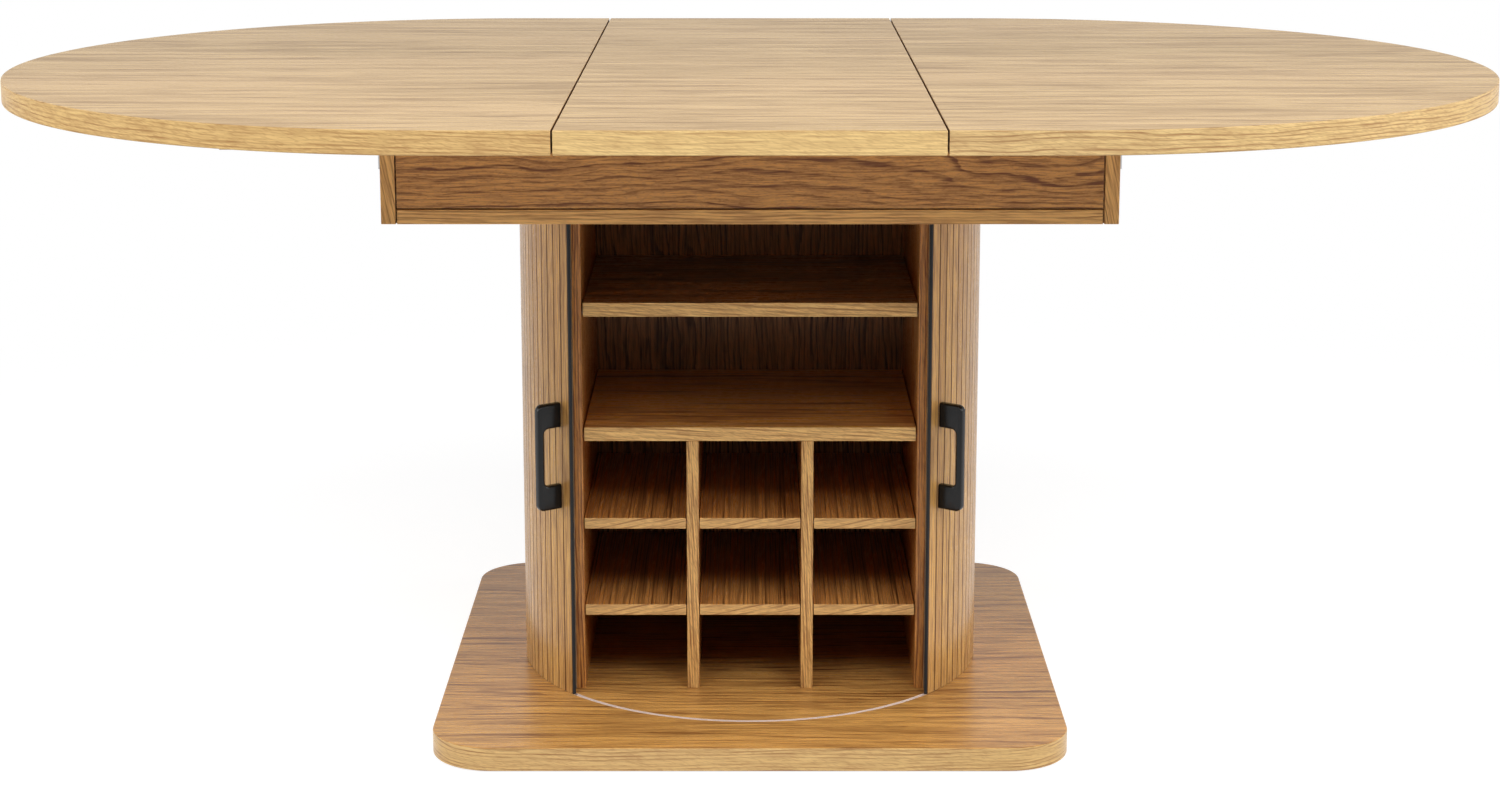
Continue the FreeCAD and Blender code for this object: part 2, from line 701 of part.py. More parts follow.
def shelf(underside):
    """Full-width shelf on pins."""
    reach = panel_inner - SHELF_END_CLEARANCE
    return board(-reach, reach, carcass_front, shelf_back, underside, underside + SHELF_THICKNESS)


def rack_shelf(x0, x1, underside):
    """Short shelf of one rack cell, loose on its pins."""
    return board(x0 + RACK_END_CLEARANCE, x1 - RACK_END_CLEARANCE, carcass_front, shelf_back,
                 underside, underside + RACK_SHELF_THICKNESS)


def pedestal_nodes():
    """Base plate, cabinet carcass, shelves and bottle rack."""
    screws = base_screws()
    back_screws = carcass_screws()
    glides = floor_glides()
    pins = shelf_pins()
    down_screws = box_screws()
    nodes["base_plate"] = base_plate(screws, glides)
    nodes["floor_glides"] = group(glides)
    nodes["base_screws"] = group(screws)
    nodes["lower_track"] = track(base_top, DOWNWARDS)
    nodes["upper_track"] = track(box_bottom, UPWARDS)
    nodes["left_side_panel"] = side_panel(LEFT, screws + back_screws + pins + down_screws)
    nodes["right_side_panel"] = side_panel(RIGHT, screws + back_screws + pins + down_screws)
    back = board(-panel_inner, panel_inner, back_panel_face, carcass_back, base_top, box_bottom)
    nodes["back_panel"] = drill(back, back_screws)
    nodes["carcass_screws"] = group(back_screws)
    nodes["upper_shelf"] = shelf(upper_shelf_underside)
    nodes["rack_top_shelf"] = shelf(rack_top_underside)
    nodes["left_divider"] = divider(LEFT, screws + pins)
    nodes["right_divider"] = divider(RIGHT, screws + pins)
    columns = {"left": (-panel_inner, -divider_outer), "middle": (-divider_inner, divider_inner),
               "right": (divider_outer, panel_inner)}
    rows = {"lower": rack_lower_underside, "upper": rack_upper_underside}
    for row, underside in rows.items():
        for column, (x0, x1) in columns.items():
            nodes[f"rack_shelf_{row}_{column}"] = rack_shelf(x0, x1, underside)
    nodes["shelf_pins"] = group(pins)


# ---- Tambour doors ----------------------------------------------------------------------------------
def prism(outline, z0, z1):
    """An upright prism over an outline of x, y points."""
    corners = [Vector(x, y, z0) for x, y in outline]
    return Part.Face(Part.makePolygon(corners + corners[:1])).extrude(Vector(0, 0, z1 - z0))


def slat():
    """One slat at the front: eased outer corners, and a thin tongue at each end for the tracks."""
    half_turn = math.radians(slat_pitch / 2)
    outer_face = door_radius * math.cos(half_turn)
    outer_half = door_radius * math.sin(half_turn) - SLAT_GAP / 2
    inner_half = slat_inner_radius * math.sin(half_turn) - SLAT_GAP / 2
    outline = [(-inner_half, -slat_inner_radius), (-outer_half, -outer_face + SLAT_ARRIS),
               (-outer_half + SLAT_ARRIS, -outer_face), (outer_half - SLAT_ARRIS, -outer_face),
               (outer_half, -outer_face + SLAT_ARRIS), (inner_half, -slat_inner_radius)]
    body = prism(outline, door_bottom, door_top)
    low = base_top - TRACK_DEPTH + TRACK_FLOOR + TONGUE_END_CLEARANCE
    high = box_bottom + TRACK_DEPTH - TRACK_FLOOR - TONGUE_END_CLEARANCE
    thin = TONGUE_THICKNESS / 2
    tongue = box(-inner_half, inner_half, -track_radius - thin, -track_radius + thin, low, high)
    return body.fuse(tongue).removeSplitter()


def handle():
    """Bow handle at the front: a grip bar on two feet, all edges eased."""
    half = HANDLE_WIDTH / 2
    tip = -handle_face - HANDLE_PROJECTION
    blank = box(-half, half, tip, -handle_face, handle_bottom, handle_top)
    blank = blank.makeFillet(HANDLE_OUTER_RADIUS, level(edges_in_plane(blank, 1, tip)))
    grip_back = tip + HANDLE_GRIP
    hollow = box(-half, half, grip_back, -handle_face + HANDLE_GRIP,
                 handle_bottom + HANDLE_FOOT, handle_top - HANDLE_FOOT)
    hollow = hollow.makeFillet(HANDLE_INNER_RADIUS, level(edges_in_plane(hollow, 1, grip_back)))
    bow = blank.cut(hollow)
    seated = edges_in_plane(bow, 1, -handle_face)
    rims = edges_in_plane(bow, 0, -half) + edges_in_plane(bow, 0, half)
    free_rims = [rim for rim in rims if not any(rim.isSame(edge) for edge in seated)]
    return bow.makeFillet(HANDLE_ARRIS, free_rims)


class HandleScrew:
    """A pan-head screw from inside the door through the slat into a handle foot, at the front."""

    def __init__(self, z):
        outward = Vector(0, -1, 0)
        seat = math.sqrt(door_inner_radius ** 2 - HANDLE_SCREW_HEAD_RADIUS ** 2)
        start = Vector(0, -seat, z)
        length = handle_face - seat + HANDLE_SCREW_BITE
        head = cylinder(HANDLE_SCREW_HEAD_RADIUS, HANDLE_SCREW_HEAD_HEIGHT,
                        start - outward * HANDLE_SCREW_HEAD_HEIGHT, outward)
        rim = edges_in_plane(head, 1, HANDLE_SCREW_HEAD_HEIGHT - seat)
        head = head.makeFillet(HANDLE_SCREW_HEAD_ARRIS, rim)
        self.solid = head.fuse(cylinder(HANDLE_SCREW_RADIUS, length, start, outward))
        self.hole = cylinder(HANDLE_SCREW_RADIUS + FASTENER_CLEARANCE, length + FASTENER_CLEARANCE,
                             start, outward)


def door_nodes():
    """Both doors, made for the left side and mirrored for the right."""
    screws = [HandleScrew(handle_bottom + HANDLE_FOOT / 2), HandleScrew(handle_top - HANDLE_FOOT / 2)]
    one = slat()
    slats = []
    for index in range(SLAT_COUNT):
        shape = drill(one, screws) if index == HANDLE_SLAT else one
        slats.append(to_angle(shape, slat_start_angle + (index + 0.5) * slat_pitch))
    backing = ring_sector(door_inner_radius, slat_inner_radius - FASTENER_CLEARANCE / 2,
                          slat_start_angle, slat_end_angle, door_bottom + TRACK_DEPTH,
                          door_top - TRACK_DEPTH)
    holes = [to_angle(screw.hole, handle_angle) for screw in screws]
    strip = box(-EDGE_STRIP_THICKNESS, 0, -door_radius, -door_inner_radius, door_bottom, door_top)
    strip_fit = math.degrees(FASTENER_CLEARANCE / track_radius)
    made = {
        "door_slats": Part.makeCompound(slats),
        "door_backing": backing.cut(holes),
        "door_edge_strip": to_angle(strip, open_half_angle - strip_fit),
        "door_rear_strip": to_angle(strip, slat_end_angle + strip_fit),
        "handle": to_angle(drill(handle(), screws), handle_angle),
        "handle_screws": to_angle(group(screws), handle_angle),
    }
    for name, shape in made.items():
        nodes[f"left_{name}"] = shape
        nodes[f"right_{name}"] = mirrored(shape)


# ---- Build ------------------------------------------------------------------------------------------
top_half_nodes("left", turn=True)
top_half_nodes("right", turn=False)
nodes["leaf_panel"] = leaf()
runner_box_nodes()
pedestal_nodes()
door_nodes()

os.makedirs("parts", exist_ok=True)
for node, shape in nodes.items():
    shape.exportStep(f"parts/{node}.step")
print(len(nodes), "nodes")
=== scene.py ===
import logging
import math
from dataclasses import dataclass, field, replace
from enum import Enum
from functools import cache
from itertools import product
from typing import Callable

import bmesh
import bpy
from mathutils import Euler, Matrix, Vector


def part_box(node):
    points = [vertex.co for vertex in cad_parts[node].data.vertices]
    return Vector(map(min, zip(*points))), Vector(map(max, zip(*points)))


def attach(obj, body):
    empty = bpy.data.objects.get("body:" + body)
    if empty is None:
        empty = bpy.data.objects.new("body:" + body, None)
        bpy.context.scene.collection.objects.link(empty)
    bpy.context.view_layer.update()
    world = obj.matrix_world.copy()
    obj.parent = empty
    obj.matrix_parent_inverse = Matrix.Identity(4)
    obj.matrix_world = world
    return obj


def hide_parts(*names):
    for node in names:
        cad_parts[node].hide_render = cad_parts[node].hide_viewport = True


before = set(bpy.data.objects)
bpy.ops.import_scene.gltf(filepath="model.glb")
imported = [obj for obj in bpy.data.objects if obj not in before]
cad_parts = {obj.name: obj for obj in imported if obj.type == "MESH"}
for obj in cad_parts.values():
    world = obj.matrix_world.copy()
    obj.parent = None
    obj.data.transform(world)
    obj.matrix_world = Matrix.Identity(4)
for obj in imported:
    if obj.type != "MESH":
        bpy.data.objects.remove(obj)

logging.basicConfig(level=logging.INFO, format="%(name)s: %(message)s")
log = logging.getLogger("table")

Socket = bpy.types.NodeSocket
Triple = tuple[float, float, float]
Colour = Triple
WHITE: Colour = (1.0, 1.0, 1.0)
BLACK: Colour = (0.0, 0.0, 0.0)
SIDES = {"left": -1, "right": 1}


# ---- Wiring of shader nodes -------------------------------------------------------------------------
class Wiring:
    """A node tree that is filled in by short calls, each giving the socket it makes."""

    def __init__(self, tree: bpy.types.NodeTree) -> None:
        """Takes the tree to fill in."""
        self.tree = tree

    def node(self, kind: str, *feeds: object, **settings: object) -> bpy.types.Node:
        """Adds a node.

        Args:
            kind: The node's type, without its "ShaderNode" start.
            feeds: What its inputs take, in their order: a socket, a value, or None to leave it.
            settings: The node's own properties.

        Returns:
            The new node.
        """
        made = self.tree.nodes.new("ShaderNode" + kind)
        for name, value in settings.items():
            setattr(made, name, value)
        for socket, value in zip(made.inputs, feeds):
            self.feed(socket, value)
        return made

    def feed(self, socket: Socket, value: object) -> None:
        """Links a socket to another one, or sets its value.

        Args:
            socket: The input to feed.
            value: A socket, a number, a vector or colour, or None to leave it.
        """
        if isinstance(value, Socket):
            self.tree.links.new(value, socket)
        elif value is not None:
            if socket.type == "RGBA" and len(value) == 3:
                value = (*value, 1.0)
            socket.default_value = value

    def math(self, operation: str, *values: object, clamp: bool = False) -> Socket:
        """One step of arithmetic.

        Args:
            operation: The Math node's operation.
            values: Its one to three values or sockets.
            clamp: Whether the result is kept between 0 and 1.

        Returns:
            The result.
        """
        return self.node("Math", *values, operation=operation, use_clamp=clamp).outputs[0]

    def vector(self, operation: str, *values: object) -> Socket:
        """One step of vector arithmetic.

        Args:
            operation: The Vector Math node's operation.
            values: Its vectors or sockets.

        Returns:
            The resulting vector.
        """
        return self.node("VectorMath", *values, operation=operation).outputs[0]

    def length(self, vector: Socket) -> Socket:
        """The length of a vector."""
        return self.node("VectorMath", vector, operation="LENGTH").outputs["Value"]

    def split(self, vector: Socket) -> tuple[Socket, Socket, Socket]:
        """The three parts of a vector."""
        return tuple(self.node("SeparateXYZ", vector).outputs)

    def join(self, x: object, y: object, z: object) -> Socket:
        """A vector from three parts."""
        return self.node("CombineXYZ", x, y, z).outputs[0]

    def mapped(self, vector: Socket, shift: object = None, turn: object = None,
               scale: object = None) -> Socket:
        """Scales, turns and then shifts a vector.

        Args:
            vector: What is mapped.
            shift: How far it is shifted, if at all.
            turn: Its turn as Euler angles in radians, if any.
            scale: Its scale in x, y and z, if any.

        Returns:
            The mapped vector.
        """
        return self.node("Mapping", vector, shift, turn, scale).outputs[0]

    def noise(self, vector: Socket, stretch: object, detail: float = 1.0,
              roughness: float = 0.55) -> Socket:
        """Soft noise that can be longer one way than another.

        Args:
            vector: Place in metres.
            stretch: Blotches per metre in x, y and z, as numbers or a socket.
            detail: Octaves of finer noise.
            roughness: How strong each finer octave is against the one before.

        Returns:
            Values around 0.5.
        """
        scaled = self.vector("MULTIPLY", vector, stretch)
        return self.node("TexNoise", scaled, None, 1.0, detail, roughness).outputs[0]

    def centred_noise(self, vector: Socket, stretch: Triple, detail: float = 1.0) -> Socket:
        """The same noise around 0."""
        return self.math("SUBTRACT", self.noise(vector, stretch, detail), 0.5)

    def chance(self, key: Socket) -> Socket:
        """A random value, 0 to 1, that is the same wherever the key is the same."""
        return self.node("TexWhiteNoise", None, key, noise_dimensions="1D").outputs[0]

    def ramp(self, value: Socket, low: float, high: float, start: object = 0.0,
             end: object = 1.0) -> Socket:
        """A smooth step.

        Args:
            value: What is stepped.
            low: Where the step begins.
            high: Where it ends.
            start: The result below the step.
            end: The result above it.

        Returns:
            The stepped value.
        """
        made = self.node("MapRange", value, low, high, start, end, interpolation_type="SMOOTHSTEP")
        return made.outputs[0]

    def mix(self, share: object, first: object, second: object) -> Socket:
        """Mixes two colours.

        Args:
            share: How much of the second colour, 0 to 1.
            first: A colour or socket.
            second: A colour or socket.

        Returns:
            The mixed colour.
        """
        made = self.node("Mix", share, data_type="RGBA")
        colours = [socket for socket in made.inputs if socket.type == "RGBA"]
        self.feed(colours[0], first)
        self.feed(colours[1], second)
        return next(socket for socket in made.outputs if socket.type == "RGBA")

    def blend(self, share: object, first: Socket, second: Socket) -> Socket:
        """Mixes two values.

        Args:
            share: How much of the second value, 0 to 1.
            first: A value.
            second: A value.

        Returns:
            The mixed value.
        """
        made = self.node("Mix", share, data_type="FLOAT")
        values = {socket.name: socket for socket in made.inputs if socket.type == "VALUE"}
        self.feed(values["A"], first)
        self.feed(values["B"], second)
        return made.outputs[0]


class EffectGroup:
    """A shader node group that several finishes share, built the first time it is asked for.

    INPUTS and OUTPUTS give the kind of each socket by its name.
    """

    NAME = ""
    INPUTS: dict[str, str] = {}
    OUTPUTS: dict[str, str] = {}

    def tree(self) -> bpy.types.NodeTree:
        """Gives the group's tree, and builds it if it isn't there yet.

        Returns:
            The tree that every copy of the group shares.
        """
        found = bpy.data.node_groups.get(self.NAME)
        if found:
            return found
        made = bpy.data.node_groups.new(self.NAME, "ShaderNodeTree")
        for side, sockets in (("INPUT", self.INPUTS), ("OUTPUT", self.OUTPUTS)):
            for name, kind in sockets.items():
                made.interface.new_socket(name, in_out=side, socket_type="NodeSocket" + kind)
        entry = made.nodes.new("NodeGroupInput").outputs
        given = {name: entry[name] for name in self.INPUTS}
        exit_node = made.nodes.new("NodeGroupOutput")
        for name, socket in self.build(Wiring(made), given).items():
            made.links.new(socket, exit_node.inputs[name])
        return made

    def build(self, w: Wiring, given: dict[str, Socket]) -> dict[str, Socket]:
        """Fills in the group.

        Args:
            w: The group's own wiring.
            given: The sockets of its named inputs.

        Returns:
            A socket for each named output.
        """
        raise NotImplementedError

    def place(self, w: Wiring, **values: object) -> dict[str, Socket]:
        """Puts the group into a material.

        Args:
            w: The material's wiring.
            values: What its inputs take, with underscores for the spaces in their names.

        Returns:
            The sockets of its outputs by name.
        """
        made = w.node("Group", node_tree=self.tree())
        for name, value in values.items():
            w.feed(made.inputs[name.replace("_", " ")], value)
        return {name: made.outputs[name] for name in self.OUTPUTS}


@dataclass(frozen=True)
class Layer:
    """One noise of a figure, with the step that sharpens it.

    Attributes:
        stretch: Blotches per metre along the grain, across it and through the board.
        low: Where the step begins.
        high: Where it ends.
        share: How much the layer adds to the whole.
        detail: Octaves of finer noise.
        roughness: How strong each finer octave is against the one before.
    """

    stretch: Triple
    low: float
    high: float
    share: float = 1.0
    detail: float = 2.0
    roughness: float = 0.55

    def drawn(self, w: Wiring, place: Socket) -> Socket:
        """The layer at a place in metres, 0 to 1."""
        return w.ramp(w.noise(place, self.stretch, self.detail, self.roughness), self.low, self.high)


class OakFigure(EffectGroup):
    """Flat-sawn oak: growth lines that wander and close into arches, streaks, fibres and pores.

    The grain runs along x, in metres. The inputs are a Veneer's. Noises that aren't layers are
    written as their stretch.
    """

    NAME = "oak figure"
    INPUTS = {"Vector": "Vector", "Pale": "Color", "Deep": "Color", "Bands": "Float",
              "Wander": "Float", "Lines": "Float", "Streaks": "Float", "Fineness": "Float",
              "Fibres": "Float", "Fibre": "Float", "Pores": "Float"}
    OUTPUTS = {"Color": "Color", "Roughness": "Float", "Height": "Float"}
    WAVER, WAVER_REACH = (5.0, 14.0, 14.0), 0.016
    CLOUDS, CLOUD_SHARE, CLOUD_HUE = (1.1, 6.0, 6.0), 0.8, 0.008
    DRIFT = (0.85, 5.0, 5.0)
    WARP, WARP_SHARE = (4.0, 20.0, 20.0), 0.22
    JITTER, JITTER_SHARE = (40.0, 210.0, 210.0), 0.4
    SLOPE_THROUGH = 0.55
    RING_FOOT, RING_PEAK = 0.45, 0.88
    FAINTEST_RING = 0.2
    BODY = Layer((2.6, 38.0, 38.0), 0.34, 0.68, share=0.8, detail=5.0, roughness=0.68)
    THIN = Layer((9.0, 190.0, 190.0), 0.53, 0.62, share=0.35)
    LIGHT = Layer((5.0, 100.0, 100.0), 0.54, 0.66, share=-0.2)
    ELSEWHERE = (3.7, 1.9, 0.8)
    STREAK_MEAN = 0.45
    FIBRE_RATIO, FIBRE_STEP, FIBRE_RELIEF = 0.05, (0.38, 0.62), 0.5
    PORES, PORE_TURN = Layer((100.0, 700.0, 700.0), 0.5, 0.64, share=0.55, detail=1.0), 0.2
    PLAIN_TONE = 0.3
    TONE_ROUGHNESS, PORE_ROUGHNESS = 0.06, 0.08

    def build(self, w: Wiring, given: dict[str, Socket]) -> dict[str, Socket]:
        """Adds the parts of the figure up to one tone between the pale and the deep colour.

        Args:
            w: The group's own wiring.
            given: The sockets of its named inputs.

        Returns:
            The colour, what is added to the finish's roughness, and the relief.
        """
        fine = given["Fineness"]
        place = self.wavy(w, given["Vector"], fine)
        cloud = w.centred_noise(place, self.CLOUDS)
        streak = self.streaks(w, w.vector("MULTIPLY", place, w.join(fine, fine, fine)))
        fibre = self.fibres(w, place, given["Fibres"])
        pore = w.math("MULTIPLY", self.pores(w, place), given["Pores"])
        tone = w.math("MULTIPLY", self.growth_lines(w, place, given), given["Lines"])
        tone = w.math("MULTIPLY_ADD", streak, given["Streaks"], tone)
        tone = w.math("MULTIPLY_ADD", fibre, given["Fibre"], tone)
        cloudy = w.math("MULTIPLY", cloud, given["Streaks"])
        tone = w.math("MULTIPLY_ADD", cloudy, self.CLOUD_SHARE, tone)
        tone = w.math("ADD", tone, self.PLAIN_TONE, clamp=True)
        colour = w.mix(tone, given["Pale"], given["Deep"])
        colour = w.mix(w.math("MULTIPLY", pore, self.PORES.share), colour, given["Deep"])
        hue = w.math("MULTIPLY_ADD", cloud, self.CLOUD_HUE, 0.5)
        colour = w.node("HueSaturation", hue, None, None, None, colour).outputs[0]
        relief = w.math("MULTIPLY", fibre, self.FIBRE_RELIEF)
        rough = w.math("MULTIPLY", pore, self.PORE_ROUGHNESS)
        return {"Color": colour,
                "Roughness": w.math("MULTIPLY_ADD", tone, self.TONE_ROUGHNESS, rough),
                "Height": w.math("MULTIPLY_ADD", pore, -1.0, relief)}

    def wavy(self, w: Wiring, place: Socket, fine: Socket) -> Socket:
        """Lets the grain waver across its run.

        Args:
            w: The group's wiring.
            place: Place in metres.
            fine: How much finer than a wide board's the figure is.

        Returns:
            The place on a board whose grain would run straight.
        """
        waver = w.math("DIVIDE", w.centred_noise(place, self.WAVER, detail=2.0), fine)
        waver = w.math("MULTIPLY", waver, self.WAVER_REACH)
        return w.vector("ADD", place, w.join(0.0, waver, waver))

    def growth_lines(self, w: Wiring, place: Socket, given: dict[str, Socket]) -> Socket:
        """Draws thin dark lines, soft on one side, whose strength differs from ring to ring.

        Args:
            w: The group's wiring.
            place: Place in metres.
            given: The group's inputs.

        Returns:
            How dark a line is, 0 to 1.
        """
        drift = w.centred_noise(place, self.DRIFT, detail=1.3)
        warp = w.centred_noise(place, self.WARP, detail=2.0)
        jitter = w.centred_noise(place, self.JITTER)
        _, y, z = w.split(place)
        across = w.math("MULTIPLY_ADD", z, self.SLOPE_THROUGH, y)
        count = w.math("MULTIPLY", across, given["Bands"])
        count = w.math("MULTIPLY_ADD", drift, given["Wander"], count)
        warped = w.math("MULTIPLY", warp, given["Wander"])
        count = w.math("MULTIPLY_ADD", warped, self.WARP_SHARE, count)
        count = w.math("MULTIPLY_ADD", jitter, self.JITTER_SHARE, count)
        ring = w.math("FRACT", count)
        own = w.chance(w.math("FLOOR", count))
        rise = w.ramp(ring, self.RING_FOOT, self.RING_PEAK)
        line = w.math("MULTIPLY", rise, w.ramp(ring, self.RING_PEAK, 1.0, 1.0, 0.0))
        strength = w.math("MULTIPLY_ADD", own, 1.0 - self.FAINTEST_RING, self.FAINTEST_RING)
        return w.math("MULTIPLY", line, strength)

    def streaks(self, w: Wiring, place: Socket) -> Socket:
        """Draws long straight streaks, some of them darker and more sharply drawn.

        Args:
            w: The group's wiring.
            place: Place in metres.

        Returns:
            Streaks around 0.
        """
        moved = w.vector("ADD", place, self.ELSEWHERE)
        streak = w.math("MULTIPLY", self.LIGHT.drawn(w, moved), self.LIGHT.share)
        streak = w.math("MULTIPLY_ADD", self.THIN.drawn(w, moved), self.THIN.share, streak)
        streak = w.math("MULTIPLY_ADD", self.BODY.drawn(w, place), self.BODY.share, streak)
        return w.math("SUBTRACT", streak, self.STREAK_MEAN)

    def fibres(self, w: Wiring, place: Socket, count: Socket) -> Socket:
        """Draws crisp fine fibres, many times as long as they are wide.

        Args:
            w: The group's wiring.
            place: Place in metres.
            count: Fibres per metre across the grain.

        Returns:
            Fibres around 0.
        """
        stretch = w.join(w.math("MULTIPLY", count, self.FIBRE_RATIO), count, count)
        crisp = w.ramp(w.noise(place, stretch, detail=2.0), *self.FIBRE_STEP)
        return w.math("SUBTRACT", crisp, 0.5)

    def pores(self, w: Wiring, place: Socket) -> Socket:
        """Short pores that lie askew to the grain: 1 in a pore and 0 between them."""
        return self.PORES.drawn(w, w.mapped(place, turn=(0.0, 0.0, self.PORE_TURN)))


class BandRun(EffectGroup):
    """Distance along the edge band of a panel with round ends, so its veneer follows the edge."""

    NAME = "band run"
    INPUTS = {"Vector": "Vector", "Corner X": "Float", "Corner Y": "Float", "Radius": "Float"}
    OUTPUTS = {"Vector": "Vector"}
    SIDE_SHIFT = 0.35

    def build(self, w: Wiring, given: dict[str, Socket]) -> dict[str, Socket]:
        """Adds up the straight front, the turn of the corner and the side behind it.

        Args:
            w: The group's own wiring.
            given: The sockets of its named inputs.

        Returns:
            The place on the band's veneer: along it, up it, and which of the two sides it is.
        """
        x, y, z = w.split(given["Vector"])
        size_x, size_y = w.math("ABSOLUTE", x), w.math("ABSOLUTE", y)
        past_x = w.math("MAXIMUM", w.math("SUBTRACT", size_x, given["Corner X"]), 0.0)
        past_y = w.math("MAXIMUM", w.math("SUBTRACT", size_y, given["Corner Y"]), 0.0)
        turn = w.math("MULTIPLY", w.math("ARCTAN2", past_x, past_y), given["Radius"])
        run = w.math("ADD", w.math("MINIMUM", size_x, given["Corner X"]), turn)
        back = w.math("SUBTRACT", given["Corner Y"], w.math("MINIMUM", size_y, given["Corner Y"]))
        run = w.math("MULTIPLY", w.math("ADD", run, back), w.math("SIGN", x))
        side = w.math("MULTIPLY", w.math("SIGN", y), self.SIDE_SHIFT)
        return {"Vector": w.join(run, w.math("ADD", z, side), side)}


class SlatRun(EffectGroup):
    """Place on a tambour door: up the slat, across it, and a number of its own for each slat."""

    NAME = "slat run"
    INPUTS = {"Vector": "Vector", "Start": "Float", "Pitch": "Float", "Radius": "Float"}
    OUTPUTS = {"Vector": "Vector", "Slat": "Float", "Groove Shade": "Float"}
    DOOR_KEY = 61.0
    UP_SHIFT, ACROSS_SHIFT = 7.0, 3.0
    GROOVE_DEPTH = 0.0008
    GROOVE_START, GROOVE_FULL = 0.418, 0.45

    def build(self, w: Wiring, given: dict[str, Socket]) -> dict[str, Socket]:
        """Counts the slats by their bearing, and takes each from another place of the veneer.

        Args:
            w: The group's own wiring.
            given: The sockets of its named inputs.

        Returns:
            The place on the veneer, the slat's own number, and where its edges get the painted shade
            of the grooves.
        """
        x, y, z = w.split(given["Vector"])
        bearing = w.math("ARCTAN2", w.math("ABSOLUTE", x), w.math("MULTIPLY", y, -1.0))
        count = w.math("DIVIDE", w.math("SUBTRACT", bearing, given["Start"]), given["Pitch"])
        index = w.math("FLOOR", count)
        offset = w.math("SUBTRACT", w.math("SUBTRACT", count, index), 0.5)
        own = w.chance(w.math("MULTIPLY_ADD", w.math("SIGN", x), self.DOOR_KEY, index))
        slat_width = w.math("MULTIPLY", given["Pitch"], given["Radius"])
        across = w.math("MULTIPLY", offset, slat_width)
        up = w.math("MULTIPLY_ADD", own, self.UP_SHIFT, z)
        across = w.math("MULTIPLY_ADD", own, self.ACROSS_SHIFT, across)
        face = w.math("SUBTRACT", given["Radius"], self.GROOVE_DEPTH)
        outer = w.math("GREATER_THAN", w.length(w.join(x, y, 0.0)), face)
        # Painted shade: the outer face darkens towards each slat's edges, standing in for the shade in
        # the grooves.
        edge = w.ramp(w.math("ABSOLUTE", offset), self.GROOVE_START, self.GROOVE_FULL)
        return {"Vector": w.join(up, across, own), "Slat": own,
                "Groove Shade": w.math("MULTIPLY", edge, outer)}


class FineSpeckle(EffectGroup):
    """The fine orange peel of a sprayed or moulded skin."""

    NAME = "fine speckle"
    INPUTS = {"Vector": "Vector", "Grains": "Float", "Base": "Color", "Tint": "Float"}
    OUTPUTS = {"Color": "Color", "Roughness": "Float", "Height": "Float"}
    BROAD, BROAD_ROUGHNESS = (14.0, 14.0, 14.0), 0.12
    GRAIN_ROUGHNESS = 0.06

    def build(self, w: Wiring, given: dict[str, Socket]) -> dict[str, Socket]:
        """Lays a fine and a broad noise over each other.

        Args:
            w: The group's own wiring.
            given: The sockets of its named inputs.

        Returns:
            The colour, what is added to the finish's roughness, and the relief.
        """
        grains = given["Grains"]
        grain = w.noise(given["Vector"], w.join(grains, grains, grains), detail=2.0, roughness=0.6)
        broad = w.noise(given["Vector"], self.BROAD, detail=2.0)
        share = w.math("MULTIPLY", w.math("ADD", grain, broad), given["Tint"])
        rough = w.math("MULTIPLY", grain, self.GRAIN_ROUGHNESS)
        return {"Color": w.mix(share, given["Base"], WHITE),
                "Roughness": w.math("MULTIPLY_ADD", broad, self.BROAD_ROUGHNESS, rough),
                "Height": grain}


# ---- Finishes ---------------------------------------------------------------------------------------
class Grain(Enum):
    """Which way the grain of a board runs, as the turn that lays it along x."""

    ALONG = (0.0, 0.0, 0.0)
    ACROSS = (0.0, 0.0, -math.pi / 2)
    UPRIGHT = (math.pi / 2, 0.0, math.pi / 2)
    LIPPING = (-math.pi / 2, 0.0, 0.0)


class Banding(Enum):
    """How the edges of a board are banded."""

    NONE = "the board's own pattern runs over its edges"
    FRONT = "a strip with grain along x on the front and back edges"
    ROUND = "a strip that follows the panel's outline"


def new_material(name: str) -> tuple[bpy.types.Material, Wiring, bpy.types.Node]:
    """Starts a material.

    Args:
        name: The material's name.

    Returns:
        The material, its wiring and its Principled BSDF.
    """
    made = bpy.data.materials.new(name)
    made.use_nodes = True
    shader = next(n for n in made.node_tree.nodes if n.type == "BSDF_PRINCIPLED")
    return made, Wiring(made.node_tree), shader


def add_bump(w: Wiring, shader: bpy.types.Node, height: Socket, distance: float) -> None:
    """Lays a relief on a shader.

    Args:
        w: The material's wiring.
        shader: Its Principled BSDF.
        height: The relief, in parts of the distance.
        distance: Its depth in metres.
    """
    bump = w.node("Bump")
    bump.inputs["Strength"].default_value = 1.0
    bump.inputs["Distance"].default_value = distance
    w.feed(bump.inputs["Height"], height)
    w.feed(shader.inputs["Normal"], bump.outputs[0])


@dataclass(frozen=True)
class Veneer:
    """Colours and strengths of one kind of oak veneer.

    Attributes:
        pale: Colour of the wood between the lines.
        deep: Colour of its lines, streaks and pores.
        bands: Growth lines per metre.
        wander: How many lines a growth line drifts to and fro.
        lines: Strength of the growth lines.
        streaks: Strength of the long streaks.
        fineness: How much finer than a wide board's the streaks are.
        fibres: Fibres per metre across the grain.
        fibre: Strength of the fibres.
        pores: Strength of the pores.
        length: How many times as long as usual the figure is along the grain.
    """

    pale: Colour
    deep: Colour
    bands: float = 90.0
    wander: float = 9.0
    lines: float = 0.55
    streaks: float = 0.8
    fineness: float = 1.0
    fibres: float = 350.0
    fibre: float = 0.4
    pores: float = 0.5
    length: float = 1.0


